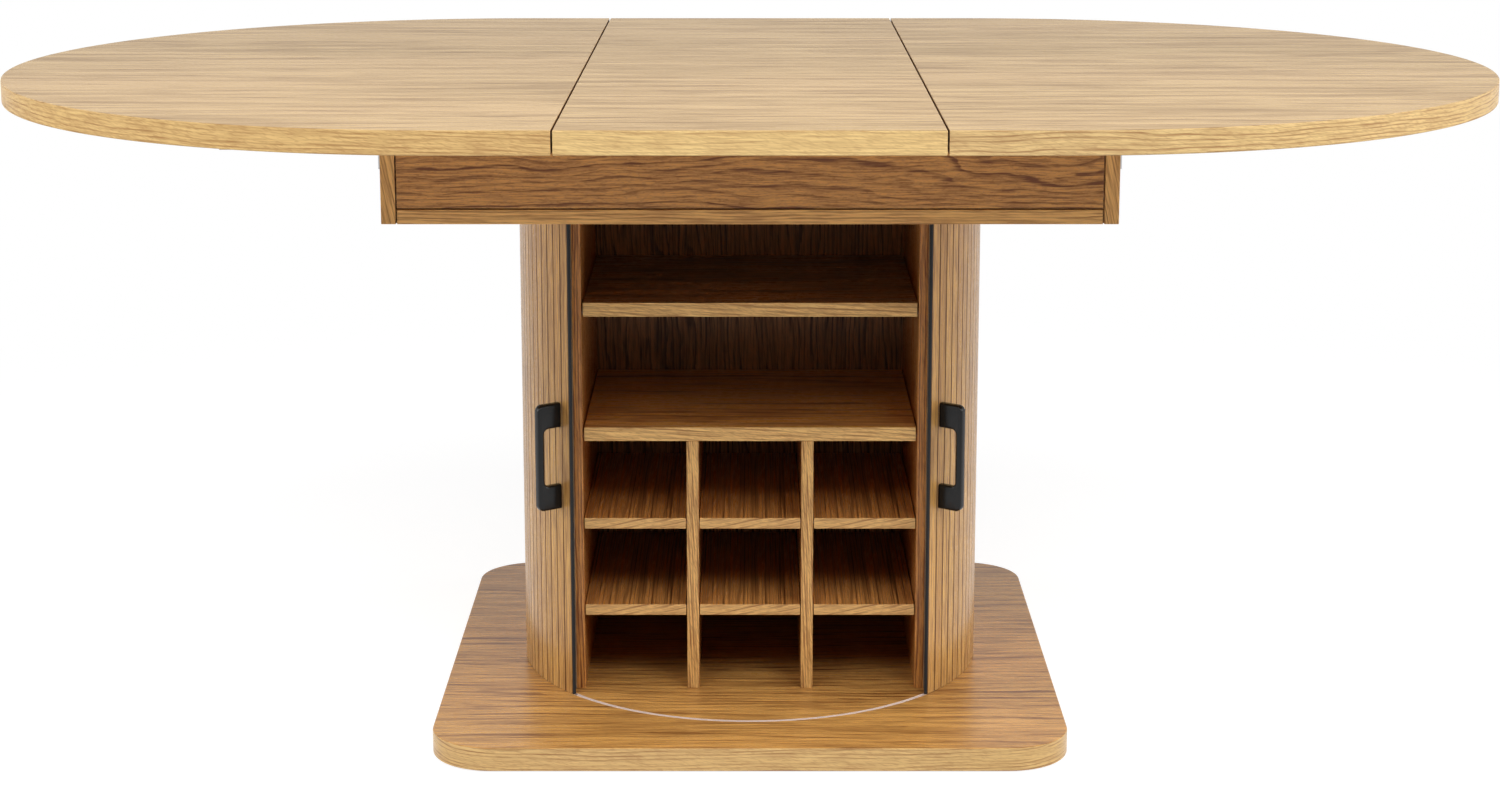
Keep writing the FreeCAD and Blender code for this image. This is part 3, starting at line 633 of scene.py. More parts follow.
TOP_VENEER = Veneer(pale=(0.665, 0.45, 0.205), deep=(0.26, 0.145, 0.06), bands=80.0,
                    wander=10.0, lines=0.3, streaks=0.65, fineness=1.15, fibres=130.0, fibre=0.35,
                    pores=0.2)
EDGE_VENEER = Veneer(pale=(0.76, 0.525, 0.225), deep=(0.35, 0.18, 0.07), bands=230.0,
                     wander=16.0, lines=0.6, streaks=0.1, fineness=2.4, fibres=520.0, fibre=0.35,
                     pores=0.6)
# Paler copies of the edge veneer: painted light on the rims of the right half and the leaf, which read
# brighter than the left rim.
RIGHT_LIT_EDGE_VENEER = replace(EDGE_VENEER, pale=(0.77, 0.555, 0.26), deep=(0.36, 0.20, 0.09))
LEAF_LIT_EDGE_VENEER = replace(EDGE_VENEER, pale=(0.83, 0.605, 0.27), deep=(0.43, 0.25, 0.108))
BOX_VENEER = Veneer(pale=(0.66, 0.33, 0.098), deep=(0.15, 0.047, 0.012), bands=170.0, wander=26.0,
                    lines=0.85, streaks=0.3, fineness=1.2, fibres=520.0, fibre=0.5, pores=0.55)
BOX_END_VENEER = Veneer(pale=(0.86, 0.50, 0.17), deep=(0.32, 0.14, 0.042), bands=300.0, wander=6.0,
                        lines=0.6, streaks=0.3, fineness=2.6, fibres=420.0, fibre=0.5, pores=0.3)
BASE_VENEER = Veneer(pale=(0.67, 0.36, 0.102), deep=(0.16, 0.055, 0.013), bands=75.0, wander=13.0,
                     lines=0.45, streaks=0.42, fineness=1.4, fibres=220.0, fibre=0.4, pores=0.4)
INNER_VENEER = Veneer(pale=(0.74, 0.34, 0.095), deep=(0.09, 0.028, 0.006), bands=210.0,
                      lines=0.65, streaks=0.5, fineness=4.0, fibres=480.0, fibre=0.5, pores=0.2,
                      length=5.0)
BACK_VENEER = Veneer(pale=(0.54, 0.27, 0.112), deep=(0.11, 0.045, 0.017), bands=110.0,
                     wander=26.0, lines=0.8, streaks=0.4, fineness=1.6, fibre=0.5, pores=0.4)
# The two long shelves are one veneer in two copies: the upper one darkened as painted shade under the
# box, the rack top paled as painted light.
UPPER_SHELF_SHADED_VENEER = Veneer(pale=(0.36, 0.205, 0.095), deep=(0.04, 0.017, 0.008), bands=45.0,
                            wander=9.0, lines=0.8, streaks=0.9, fineness=1.1, fibres=120.0,
                            fibre=0.4, pores=0.3)
RACK_TOP_LIT_VENEER = Veneer(pale=(0.98, 0.54, 0.165), deep=(0.38, 0.14, 0.038), bands=45.0,
                         wander=9.0, lines=0.9, streaks=0.9, fineness=1.2, fibres=120.0,
                         fibre=0.4, pores=0.3)
LIPPING_VENEER = Veneer(pale=(0.90, 0.575, 0.215), deep=(0.27, 0.11, 0.033), bands=150.0,
                        wander=5.0, lines=0.6, streaks=0.15, fineness=3.0, fibres=480.0,
                        fibre=0.35, pores=0.7)
# A paler copy of the lipping for the long shelves' edges: painted light where they lie in shade.
LONG_LIT_LIPPING_VENEER = replace(LIPPING_VENEER, pale=(0.98, 0.65, 0.245), deep=(0.40, 0.185, 0.056),
                              bands=190.0, fibre=0.5)
UPRIGHT_LIPPING_VENEER = replace(LIPPING_VENEER, pale=(0.86, 0.53, 0.185), bands=330.0, lines=0.7,
                                 fibres=360.0, fibre=0.6)
SIDE_VENEER = Veneer(pale=(0.79, 0.355, 0.097), deep=(0.17, 0.05, 0.011), bands=300.0, lines=0.5,
                     streaks=0.5, fineness=3.0, fibres=420.0, fibre=0.5, pores=0.3)
SIDE_EDGE_VENEER = Veneer(pale=(0.76, 0.345, 0.09), deep=(0.19, 0.055, 0.013), bands=290.0,
                          lines=0.8, streaks=0.25, fineness=3.0, fibres=480.0, fibre=0.5,
                          pores=0.5)
SLAT_VENEER = Veneer(pale=(0.73, 0.425, 0.137), deep=(0.20, 0.076, 0.021), bands=290.0,
                     wander=4.0, lines=0.4, streaks=0.3, fineness=3.0, fibres=440.0,
                     fibre=0.5, pores=0.3)
BEECH_VENEER = Veneer(pale=(0.60, 0.40, 0.23), deep=(0.42, 0.25, 0.13), lines=0.2, streaks=0.4,
                      fineness=2.0)


@dataclass(frozen=True)
class OakFinish:
    """Satin-lacquered veneer of one board, with its edge band.

    Attributes:
        name: The material's name.
        veneer: The veneer of its faces.
        grain: Which way their grain runs.
        origin: The place on the board that the veneer is measured from.
        shift: From where in the log the veneer is taken, in metres.
        banding: How the edges are banded.
        band_veneer: The veneer of the band.
        band_grain: Which way its grain runs, where the band is straight.
        band_slope: How much its grain leans, in radians.
        corner: The centre of a round corner in x and y, and its radius, where the band is round.
        seam: How far from the middle the faces of the seams lie at most, or 0 without seams.
        seam_shade_colour: The dark brown painted on those faces as the shade in the seams.
        roughness: Of smooth wood.
        specular: How strongly the lacquer reflects.
        relief: Depth of the grain in metres.
    """

    name: str
    veneer: Veneer
    grain: Grain = Grain.ALONG
    origin: Triple = (0.0, 0.0, 0.0)
    shift: Triple = (0.0, 0.0, 0.0)
    banding: Banding = Banding.NONE
    band_veneer: Veneer = EDGE_VENEER
    band_grain: Grain = Grain.LIPPING
    band_slope: float = 0.0
    corner: Triple = (0.0, 0.0, 0.0)
    seam: float = 0.0
    seam_shade_colour: Colour = (0.20, 0.09, 0.035)
    roughness: float = 0.26
    specular: float = 0.3
    relief: float = 0.00002

    def material(self) -> bpy.types.Material:
        """Builds the material.

        Returns:
            The veneer's material.
        """
        made, w, shader = new_material(self.name)
        coordinates = w.node("TexCoord")
        place, normal = coordinates.outputs["Object"], coordinates.outputs["Normal"]
        parts = self.figure(w, self.laid(w, place, self.grain), self.veneer)
        if self.banding is not Banding.NONE:
            on_edge, edge_place = self.band(w, place, normal)
            edge = self.figure(w, edge_place, self.band_veneer)
            parts = {"Color": w.mix(on_edge, parts["Color"], edge["Color"]),
                     "Roughness": w.blend(on_edge, parts["Roughness"], edge["Roughness"]),
                     "Height": w.blend(on_edge, parts["Height"], edge["Height"])}
        if self.seam:
            # Painted shade: the seam faces are coloured dark brown, for the shade in the narrow seams.
            on_seam_shade = self.seam_shade_faces(w, place, normal)
            parts["Color"] = w.mix(on_seam_shade, parts["Color"], self.seam_shade_colour)
        w.feed(shader.inputs["Base Color"], parts["Color"])
        w.feed(shader.inputs["Roughness"], w.math("ADD", parts["Roughness"], self.roughness))
        shader.inputs["Specular IOR Level"].default_value = self.specular
        add_bump(w, shader, parts["Height"], self.relief)
        return made

    @staticmethod
    def figure(w: Wiring, place: Socket, veneer: Veneer) -> dict[str, Socket]:
        """Puts the figure of a veneer at a place.

        Args:
            w: The material's wiring.
            place: Place with the grain along x.
            veneer: The kind of veneer.

        Returns:
            The figure's outputs.
        """
        if veneer.length != 1.0:
            place = w.mapped(place, scale=(1.0 / veneer.length, 1.0, 1.0))
        return OakFigure().place(w, Vector=place, Pale=veneer.pale, Deep=veneer.deep,
                                 Bands=veneer.bands, Wander=veneer.wander, Lines=veneer.lines,
                                 Streaks=veneer.streaks, Fineness=veneer.fineness,
                                 Fibres=veneer.fibres, Fibre=veneer.fibre, Pores=veneer.pores)

    def seam_shade_faces(self, w: Wiring, place: Socket, normal: Socket) -> Socket:
        """Finds the faces with which neighbouring panels meet, which are painted dark as the seams'
        shade.

        Args:
            w: The material's wiring.
            place: Object coordinates.
            normal: The surface's normal in object space.

        Returns:
            1 on the faces of a seam and 0 elsewhere.
        """
        straight_sideways = 0.9
        sideways = w.math("ABSOLUTE", w.split(normal)[0])
        near = w.math("LESS_THAN", w.math("ABSOLUTE", w.split(place)[0]), self.seam)
        return w.math("MULTIPLY", w.math("GREATER_THAN", sideways, straight_sideways), near)

    def laid(self, w: Wiring, place: Socket, grain: Grain, slope: float = 0.0) -> Socket:
        """Lays the veneer on the board.

        Args:
            w: The material's wiring.
            place: Object coordinates.
            grain: Which way the grain runs.
            slope: How much the grain leans in the face, in radians.

        Returns:
            The place on the veneer.
        """
        turn = Euler(grain.value)
        shift = turn.to_matrix() @ -Vector(self.origin) + Vector(self.shift)
        laid = w.mapped(place, tuple(shift), tuple(turn))
        return w.mapped(laid, turn=(0.0, 0.0, slope)) if slope else laid

    def band(self, w: Wiring, place: Socket, normal: Socket) -> tuple[Socket, Socket]:
        """Lays the edge band.

        Args:
            w: The material's wiring.
            place: Object coordinates.
            normal: The surface's normal in object space.

        Returns:
            Where the band is, 0 or 1, and the place on its veneer.
        """
        half_turned = 0.6
        _, front, up = (w.math("ABSOLUTE", part) for part in w.split(normal))
        if self.banding is Banding.FRONT:
            on_edge = w.math("GREATER_THAN", front, half_turned)
            return on_edge, self.laid(w, place, self.band_grain, self.band_slope)
        run = BandRun().place(w, Vector=place, Corner_X=self.corner[0], Corner_Y=self.corner[1],
                              Radius=self.corner[2])["Vector"]
        on_edge = w.math("LESS_THAN", up, half_turned)
        return on_edge, w.mapped(run, self.shift, (0.0, 0.0, self.band_slope))


@dataclass(frozen=True)
class TambourFinish:
    """Oak veneer of the tambour's slats, each cut from another place of the veneer.

    Attributes:
        name: The material's name.
        start: Bearing of the first slat's leading edge, in radians from the front.
        pitch: Bearing from slat to slat.
        radius: From the cabinet's middle axis to the slats' faces.
        veneer: The slats' veneer.
        slat_tint: How much darker than the palest slat the darkest one is.
        groove_shade: Colour of the painted shade in the grooves.
        groove_shade_share: How much of that painted shade covers the wood.
        roughness: Of smooth wood.
        specular: How strongly the lacquer reflects.
        relief: Depth of the grain in metres.
    """

    name: str
    start: float
    pitch: float
    radius: float
    veneer: Veneer = SLAT_VENEER
    slat_tint: float = 0.22
    groove_shade: Colour = (0.07, 0.026, 0.01)
    groove_shade_share: float = 0.82
    roughness: float = 0.26
    specular: float = 0.3
    relief: float = 0.00003

    def material(self) -> bpy.types.Material:
        """Builds the material.

        Returns:
            The slats' material.
        """
        made, w, shader = new_material(self.name)
        place = w.node("TexCoord").outputs["Object"]
        run = SlatRun().place(w, Vector=place, Start=self.start, Pitch=self.pitch,
                              Radius=self.radius)
        figure = OakFinish.figure(w, run["Vector"], self.veneer)
        tint = w.math("MULTIPLY", run["Slat"], self.slat_tint)
        # Painted shade: the grooves' dark colour is laid over the slats' edges.
        shade = w.math("MULTIPLY", run["Groove Shade"], self.groove_shade_share)
        tinted = w.mix(tint, figure["Color"], self.veneer.deep)
        w.feed(shader.inputs["Base Color"], w.mix(shade, tinted, self.groove_shade))
        w.feed(shader.inputs["Roughness"], w.math("ADD", figure["Roughness"], self.roughness))
        shader.inputs["Specular IOR Level"].default_value = self.specular
        add_bump(w, shader, figure["Height"], self.relief)
        return made


@dataclass(frozen=True)
class SkinFinish:
    """A moulded, sprayed or plated skin with a fine orange peel.

    Attributes:
        name: The material's name.
        base: Its colour.
        roughness: Where it is smoothest.
        metallic: 1 for bare metal.
        grains: Grains of the orange peel per metre.
        tint: How much paler the grains are.
        relief: Their height in metres.
        specular: How strongly the skin reflects.
    """

    name: str
    base: Colour
    roughness: float
    metallic: float = 0.0
    grains: float = 900.0
    tint: float = 0.004
    relief: float = 0.00003
    specular: float = 0.5

    @cache
    def material(self) -> bpy.types.Material:
        """Builds the material, once for all pieces with this finish.

        Returns:
            The skin's material.
        """
        made, w, shader = new_material(self.name)
        place = w.node("TexCoord").outputs["Object"]
        speckle = FineSpeckle().place(w, Vector=place, Grains=self.grains, Base=self.base,
                                      Tint=self.tint)
        w.feed(shader.inputs["Base Color"], speckle["Color"])
        w.feed(shader.inputs["Roughness"], w.math("ADD", speckle["Roughness"], self.roughness))
        shader.inputs["Metallic"].default_value = self.metallic
        shader.inputs["Specular IOR Level"].default_value = self.specular
        add_bump(w, shader, speckle["Height"], self.relief)
        return made


CHARCOAL = SkinFinish("charcoal plastic", (0.013, 0.0145, 0.0165), 0.5, specular=0.25)
BLACK_LACQUER = SkinFinish("black lacquer", (0.004, 0.004, 0.0045), 0.14, tint=0.001, specular=0.28)
TRACK_PLASTIC = SkinFinish("track plastic", (0.78, 0.66, 0.60), 0.4)
GLIDE_PLASTIC = SkinFinish("glide plastic", (0.09, 0.085, 0.08), 0.5)
CANVAS = SkinFinish("canvas", (0.16, 0.13, 0.10), 0.9)
ZINC_STEEL = SkinFinish("zinc steel", (0.58, 0.58, 0.57), 0.28, metallic=1.0)


# ---- Modelling --------------------------------------------------------------------------------------
class Workpiece:
    """A mesh that is shaped with edit-mode operators, as by hand.

    Walls that meet at less than FLAT are one, edges of less than SMOOTH are shaded smooth and those
    of more than SHARP are there to be rounded. A face whose normal has more than FACING along an
    axis faces that way.
    """

    FLAT = math.radians(1.0)
    SMOOTH = math.radians(35.0)
    SHARP = math.radians(40.0)
    FACING = 0.9

    def __init__(self, name: str, low: Triple, high: Triple) -> None:
        """Starts from a block.

        Args:
            name: The piece's name.
            low: The block's lowest corner.
            high: Its highest corner.
        """
        bpy.ops.object.select_all(action="DESELECT")
        corner, size = Vector(low), Vector(high) - Vector(low)
        bpy.ops.mesh.primitive_cube_add(size=1.0, location=corner + size / 2, scale=size)
        bpy.ops.object.transform_apply(location=True, rotation=True, scale=True)
        self.piece = bpy.context.object
        self.piece.name = self.piece.data.name = name
        bpy.ops.object.mode_set(mode="EDIT")

    def cut(self, place: Triple, normal: Triple) -> None:
        """Cuts new edges all round, where a plane crosses the piece.

        Args:
            place: A point of the plane.
            normal: Its normal.
        """
        bpy.ops.mesh.select_all(action="SELECT")
        bpy.ops.mesh.bisect(plane_co=place, plane_no=normal)

    def pick_faces(self, wanted: Callable[[bmesh.types.BMFace], bool]) -> None:
        """Selects some faces, and nothing else.

        Args:
            wanted: The test that they pass.
        """
        bpy.ops.mesh.select_mode(type="FACE")
        bpy.ops.mesh.select_all(action="DESELECT")
        mesh = bmesh.from_edit_mesh(self.piece.data)
        for face in mesh.faces:
            face.select_set(wanted(face))
        bmesh.update_edit_mesh(self.piece.data)

    def pick_edges(self, wanted: Callable[[bmesh.types.BMEdge], bool]) -> None:
        """Selects some edges, and nothing else.

        Args:
            wanted: The test that they pass.
        """
        bpy.ops.mesh.select_mode(type="EDGE")
        bpy.ops.mesh.select_all(action="DESELECT")
        mesh = bmesh.from_edit_mesh(self.piece.data)
        for edge in mesh.edges:
            edge.select_set(wanted(edge))
        bmesh.update_edit_mesh(self.piece.data)

    def extrude(self, move: Triple) -> None:
        """Draws the selected faces out, and merges the walls that lie in one plane.

        Args:
            move: How far and which way.
        """
        bpy.ops.mesh.extrude_region_move(TRANSFORM_OT_translate={"value": move})
        bpy.ops.mesh.select_all(action="SELECT")
        bpy.ops.mesh.dissolve_limited(angle_limit=self.FLAT)

    def round_off(self, radius: float, segments: int) -> None:
        """Rounds the selected edges."""
        bpy.ops.mesh.bevel(offset=radius, segments=segments, affect="EDGES")

    def finish(self) -> bpy.types.Object:
        """Leaves edit mode and smooths the rounds.

        Returns:
            The finished piece.
        """
        bpy.ops.object.mode_set(mode="OBJECT")
        bpy.ops.object.shade_smooth_by_angle(angle=self.SMOOTH)
        return self.piece


def pick_up(piece: bpy.types.Object) -> None:
    """Selects one piece and makes it the active one.

    Args:
        piece: The piece.
    """
    bpy.ops.object.select_all(action="DESELECT")
    piece.select_set(True)
    bpy.context.view_layer.objects.active = piece


def copied(piece: bpy.types.Object, name: str) -> bpy.types.Object:
    """Copies a piece with a mesh of its own.

    Args:
        piece: What is copied.
        name: The copy's name.

    Returns:
        The copy.
    """
    pick_up(piece)
    bpy.ops.object.duplicate(linked=False)
    made = bpy.context.object
    made.name = made.data.name = name
    return made


def set_in_place(piece: bpy.types.Object, sideways: float, angle: float) -> bpy.types.Object:
    """Slides a piece to the right and swings it round the cabinet's middle axis, in its mesh.

    Args:
        piece: The piece, modelled in front of the axis.
        sideways: How far it is slid before it is swung, in metres.
        angle: How far it is swung to the right, in radians.

    Returns:
        The same piece.
    """
    pick_up(piece)
    bpy.ops.object.mode_set(mode="EDIT")
    bpy.ops.mesh.select_all(action="SELECT")
    bpy.ops.transform.translate(value=(sideways, 0.0, 0.0))
    # With no window, rotate turns the other way and ignores the pivot setting.
    bpy.ops.transform.rotate(value=-angle, orient_axis="Z", center_override=(0.0, 0.0, 0.0))
    bpy.ops.object.mode_set(mode="OBJECT")
    return piece


# ---- Sub-assemblies ---------------------------------------------------------------------------------
def dress(node: str, material: bpy.types.Material) -> None:
    """Gives a node of the frame its material.

    Args:
        node: The node's name.
        material: What it is finished with.
    """
    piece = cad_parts[node]
    piece.data.materials.clear()
    piece.data.materials.append(material)
    log.info("%s finished as %s", node, material.name)


def corner_of(node: str) -> Triple:
    """A node's lowest corner, from which its veneer is measured."""
    return tuple(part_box(node)[0])


@dataclass
class TableTop:
    """The two half tops and the leaf between them.

    Attributes:
        straight: From the middle to where the round ends begin.
        end_radius: Radius at which the band's veneer runs round them.
        seam_zone: From the middle to just past the seams.
        band_slope: How much the band's grain leans.
        specular: How strongly the satin lacquer reflects.
    """

    straight: float = 0.315
    end_radius: float = 0.59
    seam_zone: float = 0.21
    band_slope: float = 0.01
    specular: float = 0.02

    def dress(self) -> None:
        """Veneers the three panels, each with another stretch of the figure."""
        # The right half and the leaf take paler edge veneers, painted light on their rims.
        panels = {"left_top_panel": ((3.1, 0.4, 0.0), EDGE_VENEER),
                  "right_top_panel": ((7.7, 2.3, 0.0), RIGHT_LIT_EDGE_VENEER),
                  "leaf_panel": ((5.2, 4.1, 0.3), LEAF_LIT_EDGE_VENEER)}
        for node, (shift, edge) in panels.items():
            finish = OakFinish(f"oak {node}", TOP_VENEER, shift=shift, banding=Banding.ROUND,
                               band_veneer=edge, band_slope=self.band_slope, seam=self.seam_zone,
                               corner=(self.straight, 0.0, self.end_radius),
                               specular=self.specular)
            dress(node, finish.material())


@dataclass
class RunnerBox:
    """The boards of the box under the top.

    Attributes:
        long_boards: The boards that run from left to right.
        banded_board: The one of them whose front edge is banded.
        end_boards: The boards across its ends.
        end_band_slope: How much the grain of their front edges leans.
    """

    long_boards: tuple[str, ...] = ("box_front_board", "box_back_board", "box_floor_board")
    banded_board: str = "box_floor_board"
    end_boards: tuple[str, ...] = ("box_left_end_board", "box_right_end_board")
    end_band_slope: float = 0.2

    def dress(self) -> None:
        """Veneers each board from another place in the log."""
        for index, node in enumerate(self.long_boards):
            shift = (1.3 + 2.1 * index, 0.7 * index, 0.2)
            finish = OakFinish(f"oak {node}", BOX_VENEER, shift=shift)
            if node == self.banded_board:
                finish = replace(finish, banding=Banding.FRONT, band_veneer=BOX_END_VENEER)
            dress(node, finish.material())
        for index, node in enumerate(self.end_boards):
            shift = (0.4 + 1.9 * index, 0.9, 1.1)
            finish = OakFinish(f"oak {node}", BOX_VENEER, grain=Grain.UPRIGHT, shift=shift,
                               banding=Banding.FRONT, band_veneer=BOX_END_VENEER,
                               band_grain=Grain.UPRIGHT, band_slope=self.end_band_slope)
            dress(node, finish.material())


@dataclass
class Cabinet:
    """The carcass with its shelves and bottle rack.

    Attributes:
        rows: The rows of the rack's short shelves.
        columns: Their columns.
        lipping_slope: How much the lippings' grain leans.
        rack_lipping_slope: How much it leans on the rack's short shelves.
        back_specular: How strongly the back panel reflects.
    """

    rows: tuple[str, ...] = ("lower", "upper")
    columns: tuple[str, ...] = ("left", "middle", "right")
    lipping_slope: float = 0.05
    rack_lipping_slope: float = -0.2
    back_specular: float = 0.15

    def dress(self) -> None:
        """Veneers every board in its own direction."""
        for index, side in enumerate(SIDES):
            self.dress_uprights(side, (0.7 + index, 1.7, 0.5))
        back = OakFinish("oak back_panel", BACK_VENEER, Grain.UPRIGHT, shift=(4.4, 2.2, 0.1),
                         specular=self.back_specular)
        dress("back_panel", back.material())
        # Lit and shaded copies of one veneer: painted shade on the upper shelf, painted light on the
        # rack top and on the long lippings.
        long_shelves = {"upper_shelf": UPPER_SHELF_SHADED_VENEER, "rack_top_shelf": RACK_TOP_LIT_VENEER}
        for index, (node, veneer) in enumerate(long_shelves.items()):
            shift = (2.5 + index, 0.3, 0.0)
            shelf = OakFinish(f"oak {node}", veneer, origin=corner_of(node), shift=shift,
                              banding=Banding.FRONT, band_veneer=LONG_LIT_LIPPING_VENEER,
                              band_slope=self.lipping_slope)
            dress(node, shelf.material())
        for row, column in product(self.rows, self.columns):
            node = f"rack_shelf_{row}_{column}"
            shelf = OakFinish(f"oak {node}", INNER_VENEER, Grain.ACROSS, origin=corner_of(node),
                              shift=(0.6, 0.2, 0.0), banding=Banding.FRONT,
                              band_veneer=LIPPING_VENEER, band_slope=self.rack_lipping_slope)
            dress(node, shelf.material())

    def dress_uprights(self, side: str, shift: Triple) -> None:
        """Veneers a side panel and the divider on its side.

        Args:
            side: Left or right.
            shift: From where in the log the side panel's veneer is taken.
        """
        panel = OakFinish(f"oak {side} side panel", SIDE_VENEER, Grain.UPRIGHT, shift=shift,
                          banding=Banding.FRONT, band_veneer=SIDE_EDGE_VENEER,
                          band_grain=Grain.UPRIGHT)
        dress(f"{side}_side_panel", panel.material())
        node = f"{side}_divider"
        divider = OakFinish(f"oak {node}", INNER_VENEER, Grain.UPRIGHT, origin=corner_of(node),
                            shift=(0.3, 0.0, 0.0), banding=Banding.FRONT,
                            band_veneer=UPRIGHT_LIPPING_VENEER, band_grain=Grain.UPRIGHT,
                            band_slope=self.lipping_slope)
        dress(node, divider.material())


@dataclass
class Base:
    """The base plate on its glides, and the ring tracks.

    Attributes:
        corner_centre: From the middle to the centre of each round corner, in x and in y.
        corner_radius: Of those corners.
        specular: How strongly the plate reflects.
    """

    corner_centre: float = 0.297
    corner_radius: float = 0.074
    specular: float = 0.19

    def dress(self) -> None:
        """Veneers the plate and finishes the tracks and the glides."""
        corner = (self.corner_centre, self.corner_centre, self.corner_radius)
        plate = OakFinish("oak base_plate", BASE_VENEER, shift=(9.3, 1.2, 0.0),
                          banding=Banding.ROUND, corner=corner, specular=self.specular)
        dress("base_plate", plate.material())
        for node in ("lower_track", "upper_track"):
            dress(node, TRACK_PLASTIC.material())
        dress("floor_glides", GLIDE_PLASTIC.material())


@dataclass
class TambourDoor:
    """One tambour door: its slats, the cloth behind them and the strip on its trailing edge.

    Attributes:
        side: Left or right.
        start: Bearing of the first slat's leading edge, in radians from the front.
        pitch: Bearing from slat to slat.
        radius: From the cabinet's middle axis to the slats' faces.
    """

    side: str
    start: float = math.radians(49.07)
    pitch: float = math.radians(2.9568)
    radius: float = 0.284

    def dress(self) -> None:
        """Finishes the slats, their cloth and the rear strip."""
        slats = TambourFinish(f"oak {self.side} slats", self.start, self.pitch, self.radius)
        dress(f"{self.side}_door_slats", slats.material())
        dress(f"{self.side}_door_rear_strip", CHARCOAL.material())
        dress(f"{self.side}_door_backing", CANVAS.material())


@dataclass
class DoorFittings:
    """The bow handles and the strips on the doors' leading edges, left and right.

    Both are modelled straight in front of the cabinet's middle axis and swung to their bearings.
    Their heights are those of the nodes that they stand for.

    Attributes:
        face: From the axis to the flat that the handle stands on.
        projection: How far the handle stands out from it.
        width: Of the handle.
        grip: Depth of the grip bar.
        foot: Height of each foot.
        outer_radius: Of the bow's outer corners.
        inner_radius: Of the finger gap's corners.
        arris: Of the handle's long edges.
        handle_angle: Bearing of the handles.
        strip_angle: Bearing of the strips' outer sides.
        strip_thickness: Of the strips.
        strip_depth: How deep they reach in from the face.
        strip_arris: Of their long edges.
        near: Places closer than this are one.
    """

    face: float = 0.2839
    projection: float = 0.031
    width: float = 0.0104
    grip: float = 0.008
    foot: float = 0.030
    outer_radius: float = 0.0075
    inner_radius: float = 0.0065
    arris: float = 0.0028
    handle_angle: float = math.radians(53.505)
    strip_angle: float = math.radians(48.74)
    strip_thickness: float = 0.0016
    strip_depth: float = 0.0042
    strip_arris: float = 0.0004
    near: float = 1e-5

    def bow(self) -> bpy.types.Object:
        """Models a bow handle: a grip bar on two feet, with all edges rounded.

        Returns:
            The handle, in front of the axis.
        """
        bottom, top = (corner[2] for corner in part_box("left_handle"))
        half, tip = self.width / 2, -self.face - self.projection
        back = tip + self.grip
        gap_low, gap_high = bottom + self.foot, top - self.foot
        bow = Workpiece("handle_blank", (-half, tip, bottom), (half, back, top))
        for height in (gap_low, gap_high):
            bow.cut((0.0, tip, height), (0.0, 0.0, 1.0))
        bow.pick_faces(lambda face: face.normal.y > bow.FACING
                       and not gap_low < face.calc_center_median().z < gap_high)
        bow.extrude((0.0, self.projection - self.grip, 0.0))
        bow.pick_edges(lambda edge: self.runs_across(edge, tip))
        bow.round_off(self.outer_radius, segments=8)
        bow.pick_edges(lambda edge: self.runs_across(edge, back))
        bow.round_off(self.inner_radius, segments=6)
        bow.pick_edges(self.is_sharp_and_free)
        bow.round_off(self.arris, segments=4)
        return bow.finish()

    def runs_across(self, edge: bmesh.types.BMEdge, depth: float) -> bool:
        """Tells whether an edge runs across the handle at one depth.

        Args:
            edge: An edge of the handle.
            depth: The depth, as a y.

        Returns:
            Whether it does.
        """
        first, second = (corner.co for corner in edge.verts)
        level = abs(first.y - depth) < self.near and abs(second.y - depth) < self.near
        return level and abs(first.x - second.x) > self.width / 2

    def is_sharp_and_free(self, edge: bmesh.types.BMEdge) -> bool:
        """Tells whether an edge is sharp and doesn't lie on the door.

        Args:
            edge: An edge of the handle.

        Returns:
            Whether it is.
        """
        sharp = edge.calc_face_angle(0.0) > Workpiece.SHARP
        return sharp and min(corner.co.y for corner in edge.verts) < -self.face - self.near

    def strip(self) -> bpy.types.Object:
        """Models the left strip.

        Returns:
            The strip, in front of the axis.
        """
        bottom, top = (corner[2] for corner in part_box("left_door_edge_strip"))
        low, high = (-self.strip_thickness, -self.face), (0.0, self.strip_depth - self.face)
        strip = Workpiece("strip_blank", (*low, bottom), (*high, top))
        strip.pick_edges(lambda edge: abs(edge.verts[0].co.z - edge.verts[1].co.z) > self.strip_arris)
        strip.round_off(self.strip_arris, segments=3)
        return strip.finish()

    def build(self) -> None:
        """Models both pieces once, and gives each door its own."""
        bow, strip = self.bow(), self.strip()
        for side, sign in SIDES.items():
            pull = set_in_place(copied(bow, f"{side}_pull"), 0.0, sign * self.handle_angle)
            self.fit(pull, f"{side}_handle", f"{side}_door", "black_handle", BLACK_LACQUER)
            # The left strip was modelled, and the right one lies on the bearing's other side.
            sideways = self.strip_thickness if sign > 0 else 0.0
            edging = set_in_place(copied(strip, f"{side}_edging"), sideways, sign * self.strip_angle)
            self.fit(edging, f"{side}_door_edge_strip", f"{side}_door", "charcoal_strip", CHARCOAL)
        for blank in (bow, strip):
            bpy.data.objects.remove(blank, do_unlink=True)

    @staticmethod
    def fit(piece: bpy.types.Object, node: str, body: str, slot: str, finish: SkinFinish) -> None:
        """Puts a piece in the place of a node.

        Args:
            piece: The modelled piece.
            node: The node that it stands for.
            body: What it moves with.
            slot: The record's slot of its finish, which is not used.
            finish: Its finish.
        """
        piece.data.materials.append(finish.material())
        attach(piece, body)
        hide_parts(node)
        log.info("%s modelled in place of %s", piece.name, node)


